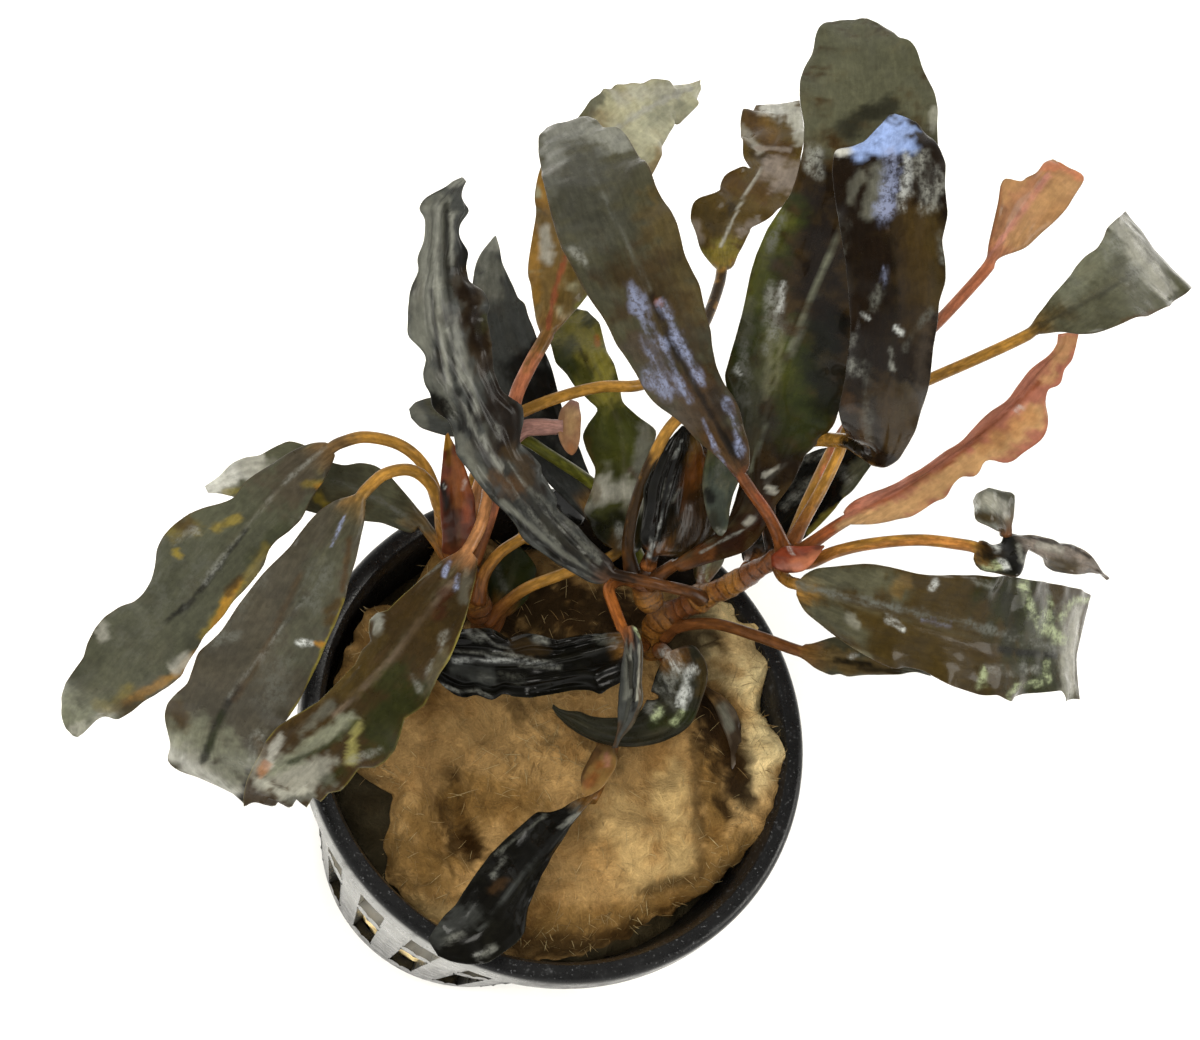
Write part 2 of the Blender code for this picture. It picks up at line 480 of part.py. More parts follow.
def tube_rings(stem, swell=0.0, sides=RING_POINTS):
    rings = []
    for k, (centre, radius) in enumerate(stem):
        ahead = (stem[min(k + 1, len(stem) - 1)][0] - stem[max(k - 1, 0)][0]).normalized()
        right = ahead.cross(Vector((0.3, -0.9, 0.2))).normalized()
        upper = right.cross(ahead)
        rings.append([centre + (right * math.cos(math.tau * side / sides)
                                + upper * math.sin(math.tau * side / sides)) * (radius + swell)
                      for side in range(sides)])
    return rings


def flower_stalk_rings():
    """Round cross-sections along the stalk that carries the young flower."""
    at, _ = curve_through([tuple(place(*row)) for row in FLOWER_STALK])
    stops = [k / FLOWER_STALK_SECTIONS for k in range(FLOWER_STALK_SECTIONS + 1)]

    def ring(stop):
        centre, right, upper = frame_at(at, stop, 0)
        turns = [math.tau * side / RING_POINTS for side in range(RING_POINTS)]
        return [centre + (right * math.cos(a) + upper * math.sin(a)) * FLOWER_STALK_RADIUS
                for a in turns]

    return ring, stops


def finish_material(name, finish):
    colour, roughness = finish
    material = bpy.data.materials.new(name)
    material.use_nodes = True
    shader = material.node_tree.nodes["Principled BSDF"]
    shader.inputs["Base Color"].default_value = (*colour, 1)
    shader.inputs["Roughness"].default_value = roughness
    shader.inputs["Metallic"].default_value = 0
    material.diffuse_color = (*colour, 1)
    return material


def make_object(name, mesh_data, finish, smooth_angle=50):
    """Turn a closed bmesh in millimetres into a named object in metres."""
    bmesh.ops.recalc_face_normals(mesh_data, faces=mesh_data.faces)
    bmesh.ops.scale(mesh_data, vec=(MM, MM, MM), verts=mesh_data.verts)
    mesh = bpy.data.meshes.new(name)
    mesh_data.to_mesh(mesh)
    mesh_data.free()
    mesh.materials.append(finish_material(name, finish))
    mesh.shade_smooth()
    mesh.set_sharp_from_angle(angle=math.radians(smooth_angle))
    item = bpy.data.objects.new(name, mesh)
    bpy.context.scene.collection.objects.link(item)
    return item


def loft(rings):
    """A closed solid through rings of equal point counts, with a flat cap at each end."""
    solid = bmesh.new()
    rows = [[solid.verts.new(point) for point in ring] for ring in rings]
    for lower, upper in zip(rows, rows[1:]):
        for side in range(len(lower)):
            after = (side + 1) % len(lower)
            solid.faces.new((lower[side], lower[after], upper[after], upper[side]))
    solid.faces.new(reversed(rows[0]))
    solid.faces.new(rows[-1])
    return solid


def wall_radius(height):
    """The net pot's outer radius at a height."""
    return BASE_RADIUS + (RIM_RADIUS - LIP_REACH - BASE_RADIUS) * height / POT_HEIGHT


def make_pot():
    """The pot: a base and a wall with two tiers of slots, under a rolled lip."""
    lip = POT_HEIGHT - LIP_DROP
    # Outer radius, outer height, inner radius, inner height, and whether slots follow this station
    stations = [(BASE_DISC_RADIUS, 0, BASE_DISC_RADIUS, BASE_THICKNESS, True),
                (BASE_SLOT_OUTER, 0, BASE_SLOT_OUTER, BASE_THICKNESS, False),
                (BASE_RADIUS, 0, BASE_RADIUS - WALL, BASE_THICKNESS, False)]
    for low, high in SLOT_HEIGHTS:
        stations.append((wall_radius(low), low, wall_radius(low) - WALL, low, True))
        stations.append((wall_radius(high), high, wall_radius(high) - WALL, high, False))
    inner = wall_radius(lip) - WALL
    stations += [(wall_radius(lip), lip, inner, lip, False),
                 (RIM_RADIUS, lip - 0.2, inner + 0.1, lip + 0.7, False),
                 (RIM_RADIUS, POT_HEIGHT - 0.5, inner + 0.2, POT_HEIGHT - 0.4, False),
                 (RIM_RADIUS - 0.5, POT_HEIGHT, inner + 0.6, POT_HEIGHT, False)]
    columns = 2 * SLOTS
    pot = bmesh.new()
    outer, inside = [], []
    for radius, height, inner_radius, inner_height, _ in stations:
        turns = [math.tau * column / columns for column in range(columns)]
        outer.append([pot.verts.new((radius * math.cos(a), radius * math.sin(a), height))
                      for a in turns])
        inside.append([pot.verts.new((inner_radius * math.cos(a), inner_radius * math.sin(a),
                                      inner_height)) for a in turns])
    for k in range(len(stations) - 1):
        for column in range(columns):
            after = (column + 1) % columns
            if stations[k][4] and column % 2:
                for a, b, c, d in ((k, column, k, after), (k + 1, column, k + 1, after),
                                   (k, column, k + 1, column), (k, after, k + 1, after)):
                    pot.faces.new((outer[a][b], outer[c][d], inside[c][d], inside[a][b]))
                continue
            for skin in (outer, inside):
                pot.faces.new((skin[k][column], skin[k][after], skin[k + 1][after],
                               skin[k + 1][column]))
    for column in range(columns):
        after = (column + 1) % columns
        pot.faces.new((outer[-1][column], outer[-1][after], inside[-1][after], inside[-1][column]))
    pot.faces.new(outer[0])
    pot.faces.new(inside[0])
    return make_object("net_pot", pot, BLACK_PLASTIC, 35)


# Where the plug's top edge falls back from the wall: direction in degrees, depth, spread in degrees
PLUG_NOTCHES = [(205, 5.0, 16), (5, 2.8, 18), (312, 3.2, 14), (138, 3.6, 18), (255, 1.0, 20)]
# Ridges and creases of its top: picture line from, to, height, half width
PLUG_FOLDS = [((440, 760), (472, 850), -2.2, 2.0), ((697, 720), (700, 880), 1.3, 2.2),
              ((600, 790), (640, 880), 0.9, 2.6), ((520, 700), (430, 740), 1.0, 3.0),
              ((650, 780), (560, 830), -1.0, 2.0), ((735, 650), (770, 720), 1.6, 3.2)]


def plug_edge(angle):
    """How far the plug's top edge falls short of the wall in a direction."""
    short = 0.9 + 0.35 * math.sin(5 * angle + 1) + 0.25 * math.sin(9 * angle)
    for direction, depth, spread in PLUG_NOTCHES:
        away = (math.degrees(angle) - direction + 180) % 360 - 180
        short += depth * math.exp(-(away / spread) ** 2)
    return short


def plug_relief(x, y):
    """The lumps and folds of the plug's top at a place."""
    relief = 0.5 * math.sin(0.42 * x + 0.8) * math.cos(0.36 * y) + 0.3 * math.sin(0.7 * y - 0.5 * x)
    for start, end, height, spread in PLUG_FOLDS:
        a, b = place(*start, PLUG_TOP - POT_HEIGHT), place(*end, PLUG_TOP - POT_HEIGHT)
        line = (b - a).xy
        along = min(max(((Vector((x, y)) - a.xy).dot(line)) / line.length_squared, 0), 1)
        away = (Vector((x, y)) - a.xy - line * along).length
        relief += height * math.exp(-(away / spread) ** 2)
    return relief


def make_plug(stems):
    """The rockwool plug, with a pocket where each stem goes down into it."""
    plug = bmesh.new()
    rings = []
    turns = [math.tau * k / PLUG_COLUMNS for k in range(PLUG_COLUMNS)]
    for height, edge_share in ((BASE_THICKNESS + FOOT_GAP, 0.1), (20, 0.1), (34, 0.5)):
        inner = wall_radius(height) - WALL - PLUG_GAP
        rings.append([Vector((math.cos(a), math.sin(a), 0)) * (inner - edge_share * plug_edge(a))
                      + Vector((0, 0, height)) for a in turns])
    for share, drop in ((1.0, PLUG_BEVEL), (0.93, 0.4), (0.78, 0), (0.54, 0), (0.28, 0)):
        ring = []
        for a in turns:
            radius = (wall_radius(PLUG_TOP - drop) - WALL - PLUG_GAP - plug_edge(a)) * share
            x, y = radius * math.cos(a), radius * math.sin(a)
            ring.append(Vector((x, y, PLUG_TOP - drop + plug_relief(x, y))))
        rings.append(ring)
    plug = loft(rings)
    item = make_object("rockwool_plug", plug, ROCKWOOL, 70)
    for name, stem in stems.items():
        foot, radius = stem[0]
        deeper = [(foot - Vector((0, 0, FOOT_GAP)), radius)] + stem
        pocket = loft(tube_rings(deeper, swell=FOOT_GAP))
        cutter = make_object(name + "_pocket", pocket, ROCKWOOL)
        cutter.hide_render = True
        cutter.display_type = "WIRE"
        cut = item.modifiers.new(name + "_pocket", "BOOLEAN")
        cut.operation = "DIFFERENCE"
        cut.object = cutter
    return item


def main():
    for item in list(bpy.data.objects):
        bpy.data.objects.remove(item)
    rooted = {name: stem_curve(rows, True) for name, rows in RHIZOMES.items()}
    forks = {name: stem_curve(rows, False) for name, rows in RHIZOME_FORK.items()}
    make_pot()
    make_plug(rooted)
    for name, stem in {**rooted, **forks}.items():
        make_object(name, loft(tube_rings(stem)), RHIZOME_BARK)
    stems = list(rooted.values()) + list(forks.values())
    for seed, (name, leaf) in enumerate(LEAVES.items()):
        ring, stops = leaf_rings(leaf, seed)
        make_object(name, loft(clear_of_stems(ring, stops, stems)), leaf["finish"], 60)
    ring, stops = flower_stalk_rings()
    make_object("flower_stalk", loft(clear_of_stems(ring, stops, stems)), FLOWER_PINK)
    for seed, (name, leaf) in enumerate(SHEATHS.items()):
        ring, stops = leaf_rings(leaf, seed)
        make_object(name, loft([ring(stop) for stop in stops]), leaf["finish"], 60)


main()
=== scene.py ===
"""Looks for the bucephalandra in its net pot.

Lengths in the tables and in the mesh code are millimetres. Leaves and stems are laid out by where
they are seen in the picture: a row holds a picture point and a height above the pot's rim, and
place() turns that into a point in space.
"""

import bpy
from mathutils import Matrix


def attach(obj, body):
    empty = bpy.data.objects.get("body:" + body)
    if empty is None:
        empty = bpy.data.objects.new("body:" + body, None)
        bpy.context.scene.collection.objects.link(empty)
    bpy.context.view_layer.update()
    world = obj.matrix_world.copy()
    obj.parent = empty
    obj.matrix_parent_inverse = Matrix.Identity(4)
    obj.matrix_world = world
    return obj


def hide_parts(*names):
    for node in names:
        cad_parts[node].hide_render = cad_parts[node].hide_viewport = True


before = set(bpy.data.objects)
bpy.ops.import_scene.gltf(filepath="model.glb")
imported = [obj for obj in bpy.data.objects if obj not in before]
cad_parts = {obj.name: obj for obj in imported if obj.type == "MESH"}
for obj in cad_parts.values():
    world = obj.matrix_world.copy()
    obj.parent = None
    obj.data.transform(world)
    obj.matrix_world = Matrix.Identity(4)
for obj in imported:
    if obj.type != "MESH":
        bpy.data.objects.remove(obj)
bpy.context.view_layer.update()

import math
from types import SimpleNamespace

import bpy
import numpy as np
from mathutils import Matrix, Vector

MM = 0.001

# Net pot
RIM_RADIUS = 25.0
POT_HEIGHT = 45.0
BASE_RADIUS = 16.0
WALL = 0.9
BASE_THICKNESS = 1.3
LIP_DROP = 3.0
LIP_REACH = 1.1
SLOTS = 20
BASE_DISC_RADIUS = 5.5
BASE_SLOT_OUTER = 13.0
SLOT_HEIGHTS = ((4.5, 18.5), (21.5, 36.0))
# Columns of faces from one slot to the next, and the columns between which a slot is open
SLOT_COLUMNS = 16
SLOT_OPEN = (4, 12)

# Rockwool plug
PLUG_TOP = POT_HEIGHT - 4.8
PLUG_GAP = 0.3
PLUG_BEVEL = 2.2
WOOL_COLUMNS = 250
WOOL_SIDE_RINGS = 60
FIBRES = 1300
# The unevenness of the wool's edge is read off a circle of this radius
EDGE_NOISE_RADIUS = 21

# Stems and leaves
RHIZOME_RADIUS = 1.25
RHIZOME_DEPTH = 9.0
STEM_STEP = 0.25
STEM_SIDES = 28
PETIOLE_RADIUS = 0.56
# How much wider a stalk's foot is, as a share
STALK_SWELL = 0.5
# Share of a blade after which its margins close in on its tip
TIP_FROM = 0.74
BLADE_THICKNESS = 0.5
STATION_STEP = 0.3
FEWEST_STATIONS = 12
# Over how many stations the directions of a centre line are evened out
STEADY_REACH = 3
# Width of a leaf's columns of faces, and the fewest and most of them
COLUMN_STEP = 0.125
COLUMN_COUNTS = (8, 44)
# Side veins: their distance, how far they slant forward per millimetre from the midrib, their height
VEIN_STEP = 2.1
VEIN_SLANT = 0.9
VEIN_HEIGHT = 0.012
# Midrib: its half width, its groove above and its keel below
RIB_WIDTH = 0.3
RIB_SINK = 0.14
RIB_KEEL = 0.34

# The view that the tables are read from: picture points per unit of slope, the picture's centre,
# the rim's centre as right, up and behind in the view (mm), and how the pot's axis leans in it.
VIEW_FOCAL = 2700.0
VIEW_CENTRE = (600.0, 520.0)
PICTURE_WIDTH = 1200.0
RIM_IN_VIEW = (-4.0, -19.9, -260.6)
POT_LEAN = (0.249, 0.362)
# Farther than anything in the picture
FAR_OFF = 1e9

# Creeping stems: picture x, picture y, height above the rim
RHIZOMES = {
    "rhizome_right": [(652, 646, -3.5), (658, 622, 0.5), (698, 600, 5.0), (740, 580, 9.5),
                      (768, 563, 13.2), (785, 553, 15.3)],
    "rhizome_left": [(484, 628, -3.8), (475, 600, 1.0), (465, 570, 5.0), (457, 549, 8.0)],
    "rhizome_front": [(608, 736, -5.0), (607, 750, -3.6), (604, 760, -2.6)],
}
RHIZOME_FORK = {
    "rhizome_middle": [(650, 604, 4.4), (646, 590, 6.0), (642, 574, 8.0)],
}

# Leaves. Stalk rows: picture x, picture y, height. Blade rows: picture x, picture y, height, width,
# turn, where a positive turn tips the right-hand margin, seen from base to tip, away from the viewer.
# tip is the rounded length at the end and point its shape: 1 is a straight taper, 2 a half ellipse.
# ruffle is the height of the margin's waves.
LEAVES = {
    "leaf_far_left": dict(
        finish="GREY_OLIVE", ruffle=0.7, tip=6, point=1.6,
        stalk=[(452, 557, 5.4), (442, 532, 8.8), (438, 500, 12), (424, 466, 14.3), (400, 445, 16.3),
               (365, 437, 17), (340, 443, 16.8)],
        blade=[(330, 449, 16.2, 1.6, 0), (290, 480, 15, 6.2, 10), (247, 525, 12.8, 8.6, 8),
               (205, 575, 9.5, 9.8, 5), (170, 618, 6, 10, 0), (135, 655, 2, 9, -5),
               (105, 690, -2, 8.2, -8), (80, 718, -5.8, 7.2, -5), (64, 738, -8.3, 6, 0)]),
    "leaf_left_middle": dict(
        finish="GREY_OLIVE", ruffle=0.6, tip=5, point=1.8,
        stalk=[(456, 546, 9.6), (449, 530, 12), (438, 505, 14.6), (430, 484, 17), (410, 470, 19),
               (385, 474, 19.4), (367, 489, 19.2)],
        blade=[(360, 498, 19, 1.6, 0), (345, 521, 18.6, 4.8, -6), (322, 556, 17.6, 7.2, -8),
               (300, 596, 15.6, 9, -5), (273, 640, 12, 10, 0), (247, 682, 9, 10.8, 0),
               (226, 720, 5, 11, 4), (216, 752, 2, 9.8, 8), (223, 778, -0.4, 8, 5),
               (240, 796, -2.6, 6.5, 0)]),
    "leaf_left_inner": dict(
        finish="DARK_OLIVE", ruffle=0.8, tip=3, point=2,
        stalk=[(463, 555, 7.4), (469, 522, 11), (479, 485, 14), (485, 468, 15), (489, 461, 16.4),
               (490, 466, 17.8), (489, 480, 18.4), (487, 500, 18.3), (481, 524, 17.8),
               (472, 543, 17.4)],
        blade=[(466, 552, 17.4, 1.6, 0), (450, 575, 17.6, 4.8, 6), (425, 605, 17.4, 7.6, 8),
               (398, 643, 16.2, 8.8, 6), (370, 681, 14.4, 9, 2), (340, 720, 12.8, 9.6, -4),
               (310, 756, 10.6, 9.4, -8), (287, 784, 8.2, 8.2, -6), (268, 809, 5.6, 7, 0)]),
    "leaf_left_behind": dict(
        finish="GREY_OLIVE", ruffle=0.5, tip=5, point=1.3,
        stalk=[(462, 572, 3.6), (448, 558, 4.2), (436, 541, 5.2), (426, 528, 6)],
        blade=[(420, 520, 6.4, 1.6, 0), (398, 508, 7.4, 4.2, 0), (360, 492, 8.4, 6, -5),
               (310, 478, 8, 6.8, -8), (262, 472, 6.2, 5.8, -5), (225, 480, 4, 4.4, 0),
               (201, 490, 2.5, 3.4, 0)]),
    "leaf_long_wavy": dict(
        finish="DARK_OLIVE", ruffle=0.9, tip=5, point=1.5,
        stalk=[(701, 598, 6.6), (690, 592, 9), (665, 586, 10.8), (635, 579, 11.6)],
        blade=[(608, 572, 12.2, 1.8, 0), (588, 560, 13.4, 3.6, 0), (565, 540, 16, 5, 10),
               (530, 500, 20.4, 6.6, 18), (500, 455, 24.4, 7.6, 22), (474, 405, 27.4, 8.8, 25),
               (446, 350, 30, 7.4, 25), (433, 290, 32, 6.4, 35), (437, 240, 33, 5.2, 38),
               (441, 208, 33, 4.4, 30), (470, 174, 32, 3, 20)]),
    "leaf_behind_wavy": dict(
        finish="NEAR_BLACK", ruffle=0.4, tip=5, point=1.6,
        stalk=[(642, 572, 5.4), (630, 556, 3.8)],
        blade=[(616, 538, 3.4, 1.6, 0), (597, 508, 4.6, 3.2, 0), (578, 478, 6.2, 5, -8),
               (550, 430, 9, 6.4, -8), (527, 385, 11.2, 6.6, -10), (507, 330, 14, 6.6, -10),
               (494, 285, 16.6, 6, -8), (486, 255, 18, 5, 0), (492, 233, 18.6, 3, 0)]),
    "leaf_pale_top": dict(
        finish="PALE_OLIVE", ruffle=0.8, tip=5, point=1.2,
        stalk=[(472, 560, 5.6), (485, 528, 8.4), (494, 500, 11), (506, 458, 15), (511, 428, 18),
               (516, 396, 20.4), (530, 365, 21.6)],
        blade=[(548, 332, 22, 1.6, 0), (556, 302, 22.2, 4.8, 5), (563, 250, 22.5, 7.2, 8),
               (577, 200, 22.5, 8.6, 5), (602, 154, 22, 9, 0), (636, 118, 20.5, 8, 0),
               (672, 96, 18, 5.6, 10), (706, 77, 15.2, 3.4, 20)]),
    "leaf_centre": dict(
        finish="GREY_OLIVE", ruffle=0.5, tip=7, point=2.2,
        stalk=[(783, 548, 17.6), (776, 530, 19.6), (765, 510, 21.5), (752, 492, 23.2)],
        blade=[(739, 472, 24.8, 1.8, 0), (724, 445, 26.6, 3.8, 0), (700, 404, 29, 6.2, -5),
               (672, 350, 32, 9.2, -8), (646, 292, 34.5, 11, -5), (622, 236, 35.5, 10.8, 0),
               (602, 186, 34.5, 10, 4), (585, 148, 31.5, 9, 6), (566, 118, 28, 7.6, 8)]),
    "leaf_top_right": dict(
        finish="LEAF_GREEN", ruffle=0.6, tip=11, point=2,
        stalk=[(648, 586, 7.4), (662, 573, 9), (685, 558, 11.2), (720, 535, 12), (742, 510, 13.2)],
        blade=[(750, 490, 14.4, 1.8, 0), (752, 464, 15.8, 3.8, 0), (761, 425, 18.6, 6.6, 5),
               (782, 366, 24, 9.8, 8), (810, 298, 30.5, 11.4, 8), (838, 232, 36.5, 12.2, 5),
               (858, 170, 40.5, 12.4, 0), (866, 115, 42.4, 12.2, -4), (868, 62, 42.4, 11.4, -6),
               (862, 18, 41, 10, -8)]),
    "leaf_top_right_front": dict(
        finish="DARK_OLIVE", ruffle=0.5, tip=7, point=1.9,
        stalk=[(776, 554, 12.4), (769, 524, 11.8), (771, 486, 12.4), (788, 452, 14.6),
               (812, 440, 18), (832, 440, 21), (850, 442, 24.5)],
        blade=[(866, 452, 28, 2, 0), (882, 454, 31, 4, 0), (886, 430, 35, 6.4, 0),
               (886, 390, 39.5, 7.6, 5), (893, 340, 43.5, 8, 8), (896, 300, 46, 8.4, 5),
               (893, 240, 48.5, 9.2, 0), (890, 195, 49.3, 10, 0), (887, 150, 49, 10.4, 0),
               (889, 105, 47.4, 9, 0)]),
    "leaf_young_upper": dict(
        finish="YOUNG_ORANGE", ruffle=0.3, tip=1.6, point=2.4,
        stalk=[(791, 545, 14), (806, 505, 14), (838, 440, 14), (872, 395, 18), (910, 350, 25),
               (940, 320, 30), (967, 291, 33.6)],
        blade=[(990, 264, 35.6, 1.6, 0), (1005, 238, 36.5, 3.6, 10), (1020, 213, 37.2, 5.8, 15),
               (1037, 188, 37.5, 7.4, 15), (1049, 170, 37.3, 7.4, 10), (1056, 158, 36.8, 7, 0)]),
    "leaf_grey_right": dict(
        finish="GREY_OLIVE", ruffle=0.3, tip=1.6, point=2.4,
        stalk=[(791, 546, 16.8), (803, 522, 16.8), (821, 490, 17), (838, 455, 17.5),
               (850, 425, 18.6), (880, 402, 21.5), (928, 380, 25.5), (985, 355, 30)],
        blade=[(1031, 333, 32.8, 1.6, 0), (1060, 315, 34, 4.6, -8), (1090, 296, 34, 7, -10),
               (1118, 277, 33, 8.8, -5), (1140, 264, 31, 10, 0), (1153, 256, 28.6, 10.4, 0),
               (1158, 252, 26.4, 10, 0)]),
    "leaf_young_folded": dict(
        finish="YOUNG_ORANGE", ruffle=0.4, tip=4, point=1.3, fold=38,
        stalk=[(796, 555, 17.4), (815, 541, 20), (835, 527, 22)],
        blade=[(850, 518, 23.4, 2.2, 0), (882, 500, 25.5, 3.8, 25), (920, 476, 28, 4.8, 30),
               (968, 444, 31.5, 5.6, 30), (1010, 409, 35, 6, 30), (1036, 376, 37.5, 5, 25),
               (1058, 349, 39.5, 3.6, 20), (1078, 331, 41, 2.4, 10)]),
    "leaf_crumpled_right": dict(
        finish="NEAR_BLACK", ruffle=0.5, tip=4, point=1.1,
        stalk=[(796, 562, 15.6), (810, 562, 17.2), (835, 552, 19), (870, 544, 21.5),
               (920, 540, 23.5), (965, 545, 24.6)],
        blade=[(977, 548, 24.9, 2, 0), (990, 555, 25.2, 4.4, -20), (1008, 556, 25, 4.4, -30),
               (1024, 546, 24.5, 2.4, -30), (1042, 551, 23, 3.6, -15), (1066, 560, 21, 3.6, 0),
               (1090, 566, 18.5, 2.6, 0), (1112, 581, 15.2, 1.4, 0)]),
    "leaf_curled_right": dict(
        finish="NEAR_BLACK", ruffle=0.4, tip=2, point=1.8,
        blade=[(1006, 535, 26.4, 2, 0), (1006, 524, 27.6, 2.2, 30), (999, 514, 28.4, 2.6, 60),
               (993, 505, 29.2, 3.6, 30), (985, 498, 29.4, 3.4, 0), (978, 492, 28.6, 2.4, -20)]),
    "leaf_big_right": dict(
        finish="DARK_OLIVE", ruffle=0.6, tip=1.8, point=3,
        stalk=[(779, 565, 13.4), (782, 575, 15.6), (790, 582, 17.6)],
        blade=[(800, 585, 19, 2.2, 0), (830, 597, 20.2, 5.8, 10), (875, 612, 21, 8.8, 12),
               (925, 625, 20.6, 10, 10), (975, 638, 19, 11.4, 5), (1018, 646, 16.5, 11.8, 0),
               (1052, 651, 13, 11.2, -5), (1080, 655, 8.6, 10.4, -8)]),
    "leaf_under_big_right": dict(
        finish="GREY_OLIVE", ruffle=0.3, tip=4, point=1.4,
        stalk=[(664, 636, -0.6), (678, 627, 2.4), (715, 624, 6.6), (760, 637, 9.4)],
        blade=[(803, 652, 10.6, 1.6, 0), (835, 657, 10.5, 4, 0), (880, 664, 9.5, 4.8, 0),
               (915, 670, 8, 3.8, 0), (933, 674, 6.8, 2.8, 0)]),
    "leaf_top_brown": dict(
        finish="BROWN_OLIVE", ruffle=0.8, tip=3, point=1.4,
        stalk=[(460, 555, 6), (461, 530, 7.2), (470, 490, 10.4), (489, 445, 14.6),
               (505, 423, 16.2), (522, 412, 16.9), (560, 397, 17.4), (600, 387, 17.6),
               (640, 385, 17), (680, 365, 15), (705, 322, 12.6), (718, 288, 11)],
        blade=[(722, 268, 10.4, 1.6, 0), (722, 247, 10.4, 5, 0), (729, 217, 10, 8.4, 10),
               (747, 190, 9, 9, 10), (762, 165, 8, 7.2, 0), (775, 140, 7, 5.6, -20),
               (791, 107, 6, 4.2, -30)]),
    "leaf_green_centre": dict(
        finish="LEAF_GREEN", ruffle=0.4, tip=3, point=1.6,
        stalk=[(487, 622, -1.2), (503, 606, 0.8), (525, 589, 3), (560, 575, 5.2), (598, 562, 7)],
        blade=[(617, 552, 8, 1.8, 0), (626, 528, 9, 4.6, 0), (624, 490, 10.8, 6.8, 0),
               (622, 440, 11.8, 7.6, 0), (608, 398, 13.4, 6, 0), (591, 360, 13.4, 6.4, 0),
               (585, 330, 12, 5.2, 0), (580, 310, 11, 4, 0)]),
    "leaf_edge_on": dict(
        finish="NEAR_BLACK", ruffle=0.3, tip=4, point=1.4,
        stalk=[(648, 566, 10.2), (652, 555, 11.6)],
        blade=[(659, 542, 12, 1.8, 30), (664, 515, 13.4, 4.6, 50), (671, 480, 15.6, 5.8, 58),
               (681, 447, 18, 5.2, 58), (688, 426, 19.4, 3.6, 50)]),
    "leaf_black_in_pot": dict(
        finish="NEAR_BLACK", ruffle=0.6, tip=5, point=1.6,
        stalk=[(643, 645, -1.6), (636, 642, 0.2)],
        blade=[(626, 642, 1.2, 2, 0), (600, 650, 1.9, 5, 0), (550, 661, 2.5, 6.6, -8),
               (500, 666, 2.8, 7.8, -10), (462, 662, 2.6, 7.2, -8), (440, 657, 2.2, 6, 0),
               (423, 652, 1.8, 4.8, 0)]),
    "leaf_hooked_in_pot": dict(
        finish="DARK_OLIVE", ruffle=0.35, tip=6, point=1.2,
        stalk=[(660, 650, -0.6), (665, 652, 1.6)],
        blade=[(670, 658, 3, 2.8, 0), (683, 682, 3.6, 4.6, 18), (684, 708, 3, 4.4, 18),
               (664, 730, 2, 4.2, 12), (625, 736, 1, 4.2, 8), (588, 727, 0.4, 3.6, 0),
               (551, 703, 0, 2.8, 0)]),
    "leaf_narrow_in_pot": dict(
        finish="NEAR_BLACK", ruffle=0.3, tip=5, point=1.3,
        stalk=[(636, 580, 6.6), (622, 579, 7.2), (609, 588, 8.2), (614, 607, 8.4)],
        blade=[(623, 630, 8.2, 1.4, 30), (632, 652, 7.9, 3.4, 60), (636, 684, 7.4, 4.6, 66),
               (630, 716, 6.2, 4.4, 66), (616, 748, 4, 3, 45)]),
    "leaf_over_rim": dict(
        finish="NEAR_BLACK", ruffle=0.35, tip=3.5, point=1.7,
        stalk=[(603, 768, -2.4), (598, 786, -1.6)],
        blade=[(591, 800, -1, 2.2, 0), (563, 834, 0, 5.6, 0), (532, 872, 1.4, 6.8, 4),
               (506, 906, 2.6, 7.2, 4), (480, 932, 3.2, 7.2, 0), (455, 948, 3.4, 6.4, -4),
               (429, 950, 3.2, 5.4, -4)]),
    "leaf_thin_on_wool": dict(
        finish="BROWN_OLIVE", ruffle=0.2, tip=5, point=1.3,
        stalk=[(664, 654, -2.6), (682, 668, -2.2)],
        blade=[(700, 686, -2, 2, 0), (722, 712, -1.8, 3.4, 0), (740, 745, -2, 3.8, 0),
               (753, 790, -2.6, 3.2, 0)]),
    "leaf_dark_behind_right": dict(
        finish="NEAR_BLACK", ruffle=0.3, tip=4, point=1.6,
        stalk=[(748, 570, 8), (752, 560, 7)],
        blade=[(760, 546, 6.4, 2, 0), (780, 526, 7, 5.2, 0), (808, 501, 8.4, 7, 0),
               (840, 475, 10.4, 7, 0), (862, 458, 11.8, 5.6, 0), (877, 446, 12.6, 4.2, 0)]),
    "leaf_hanging_centre": dict(
        finish="GREY_OLIVE", ruffle=0.2, tip=2, point=2,
        stalk=[(632, 572, 8.6), (628, 545, 11.4), (635, 505, 15), (653, 458, 19.2),
               (672, 425, 21.6), (695, 408, 23.2), (713, 413, 23)],
        blade=[(721, 430, 21.8, 1.6, 0), (722, 455, 20, 3, 0), (721, 485, 17.8, 3.4, 0),
               (720, 512, 16, 2.8, 0), (720, 537, 14.8, 2, 0)]),
    "leaf_round_behind_left": dict(
        finish="DARK_OLIVE", ruffle=0.2, tip=2.5, point=2.2,
        stalk=[(641, 565, 7.4), (626, 530, 7.2), (613, 503, 7.8), (600, 490, 8),
               (586, 479, 8.6), (570, 468, 10), (548, 454, 11.8), (528, 441, 12.8), (508, 433, 12.5)],
        blade=[(490, 427, 12.6, 2.2, 0), (465, 418, 12.6, 4.2, 0), (440, 414, 12.6, 4.6, 0),
               (422, 413, 12.3, 4.6, 0), (406, 413, 12, 4.2, 0)]),
    "leaf_green_behind_stalks": dict(
        finish="LEAF_GREEN", ruffle=0.2, tip=2, point=1.6,
        stalk=[(489, 632, -3), (496, 624, -2.6)],
        blade=[(501, 612, -2, 2, 0), (508, 592, -1, 4.2, 0), (514, 566, 0.4, 4.6, 0),
               (519, 547, 1.6, 3.4, 0)]),
    "leaf_hidden_dark": dict(
        finish="NEAR_BLACK", ruffle=0.2, tip=3, point=1.6,
        stalk=[(478, 602, 3), (484, 575, 5.4), (500, 553, 7)],
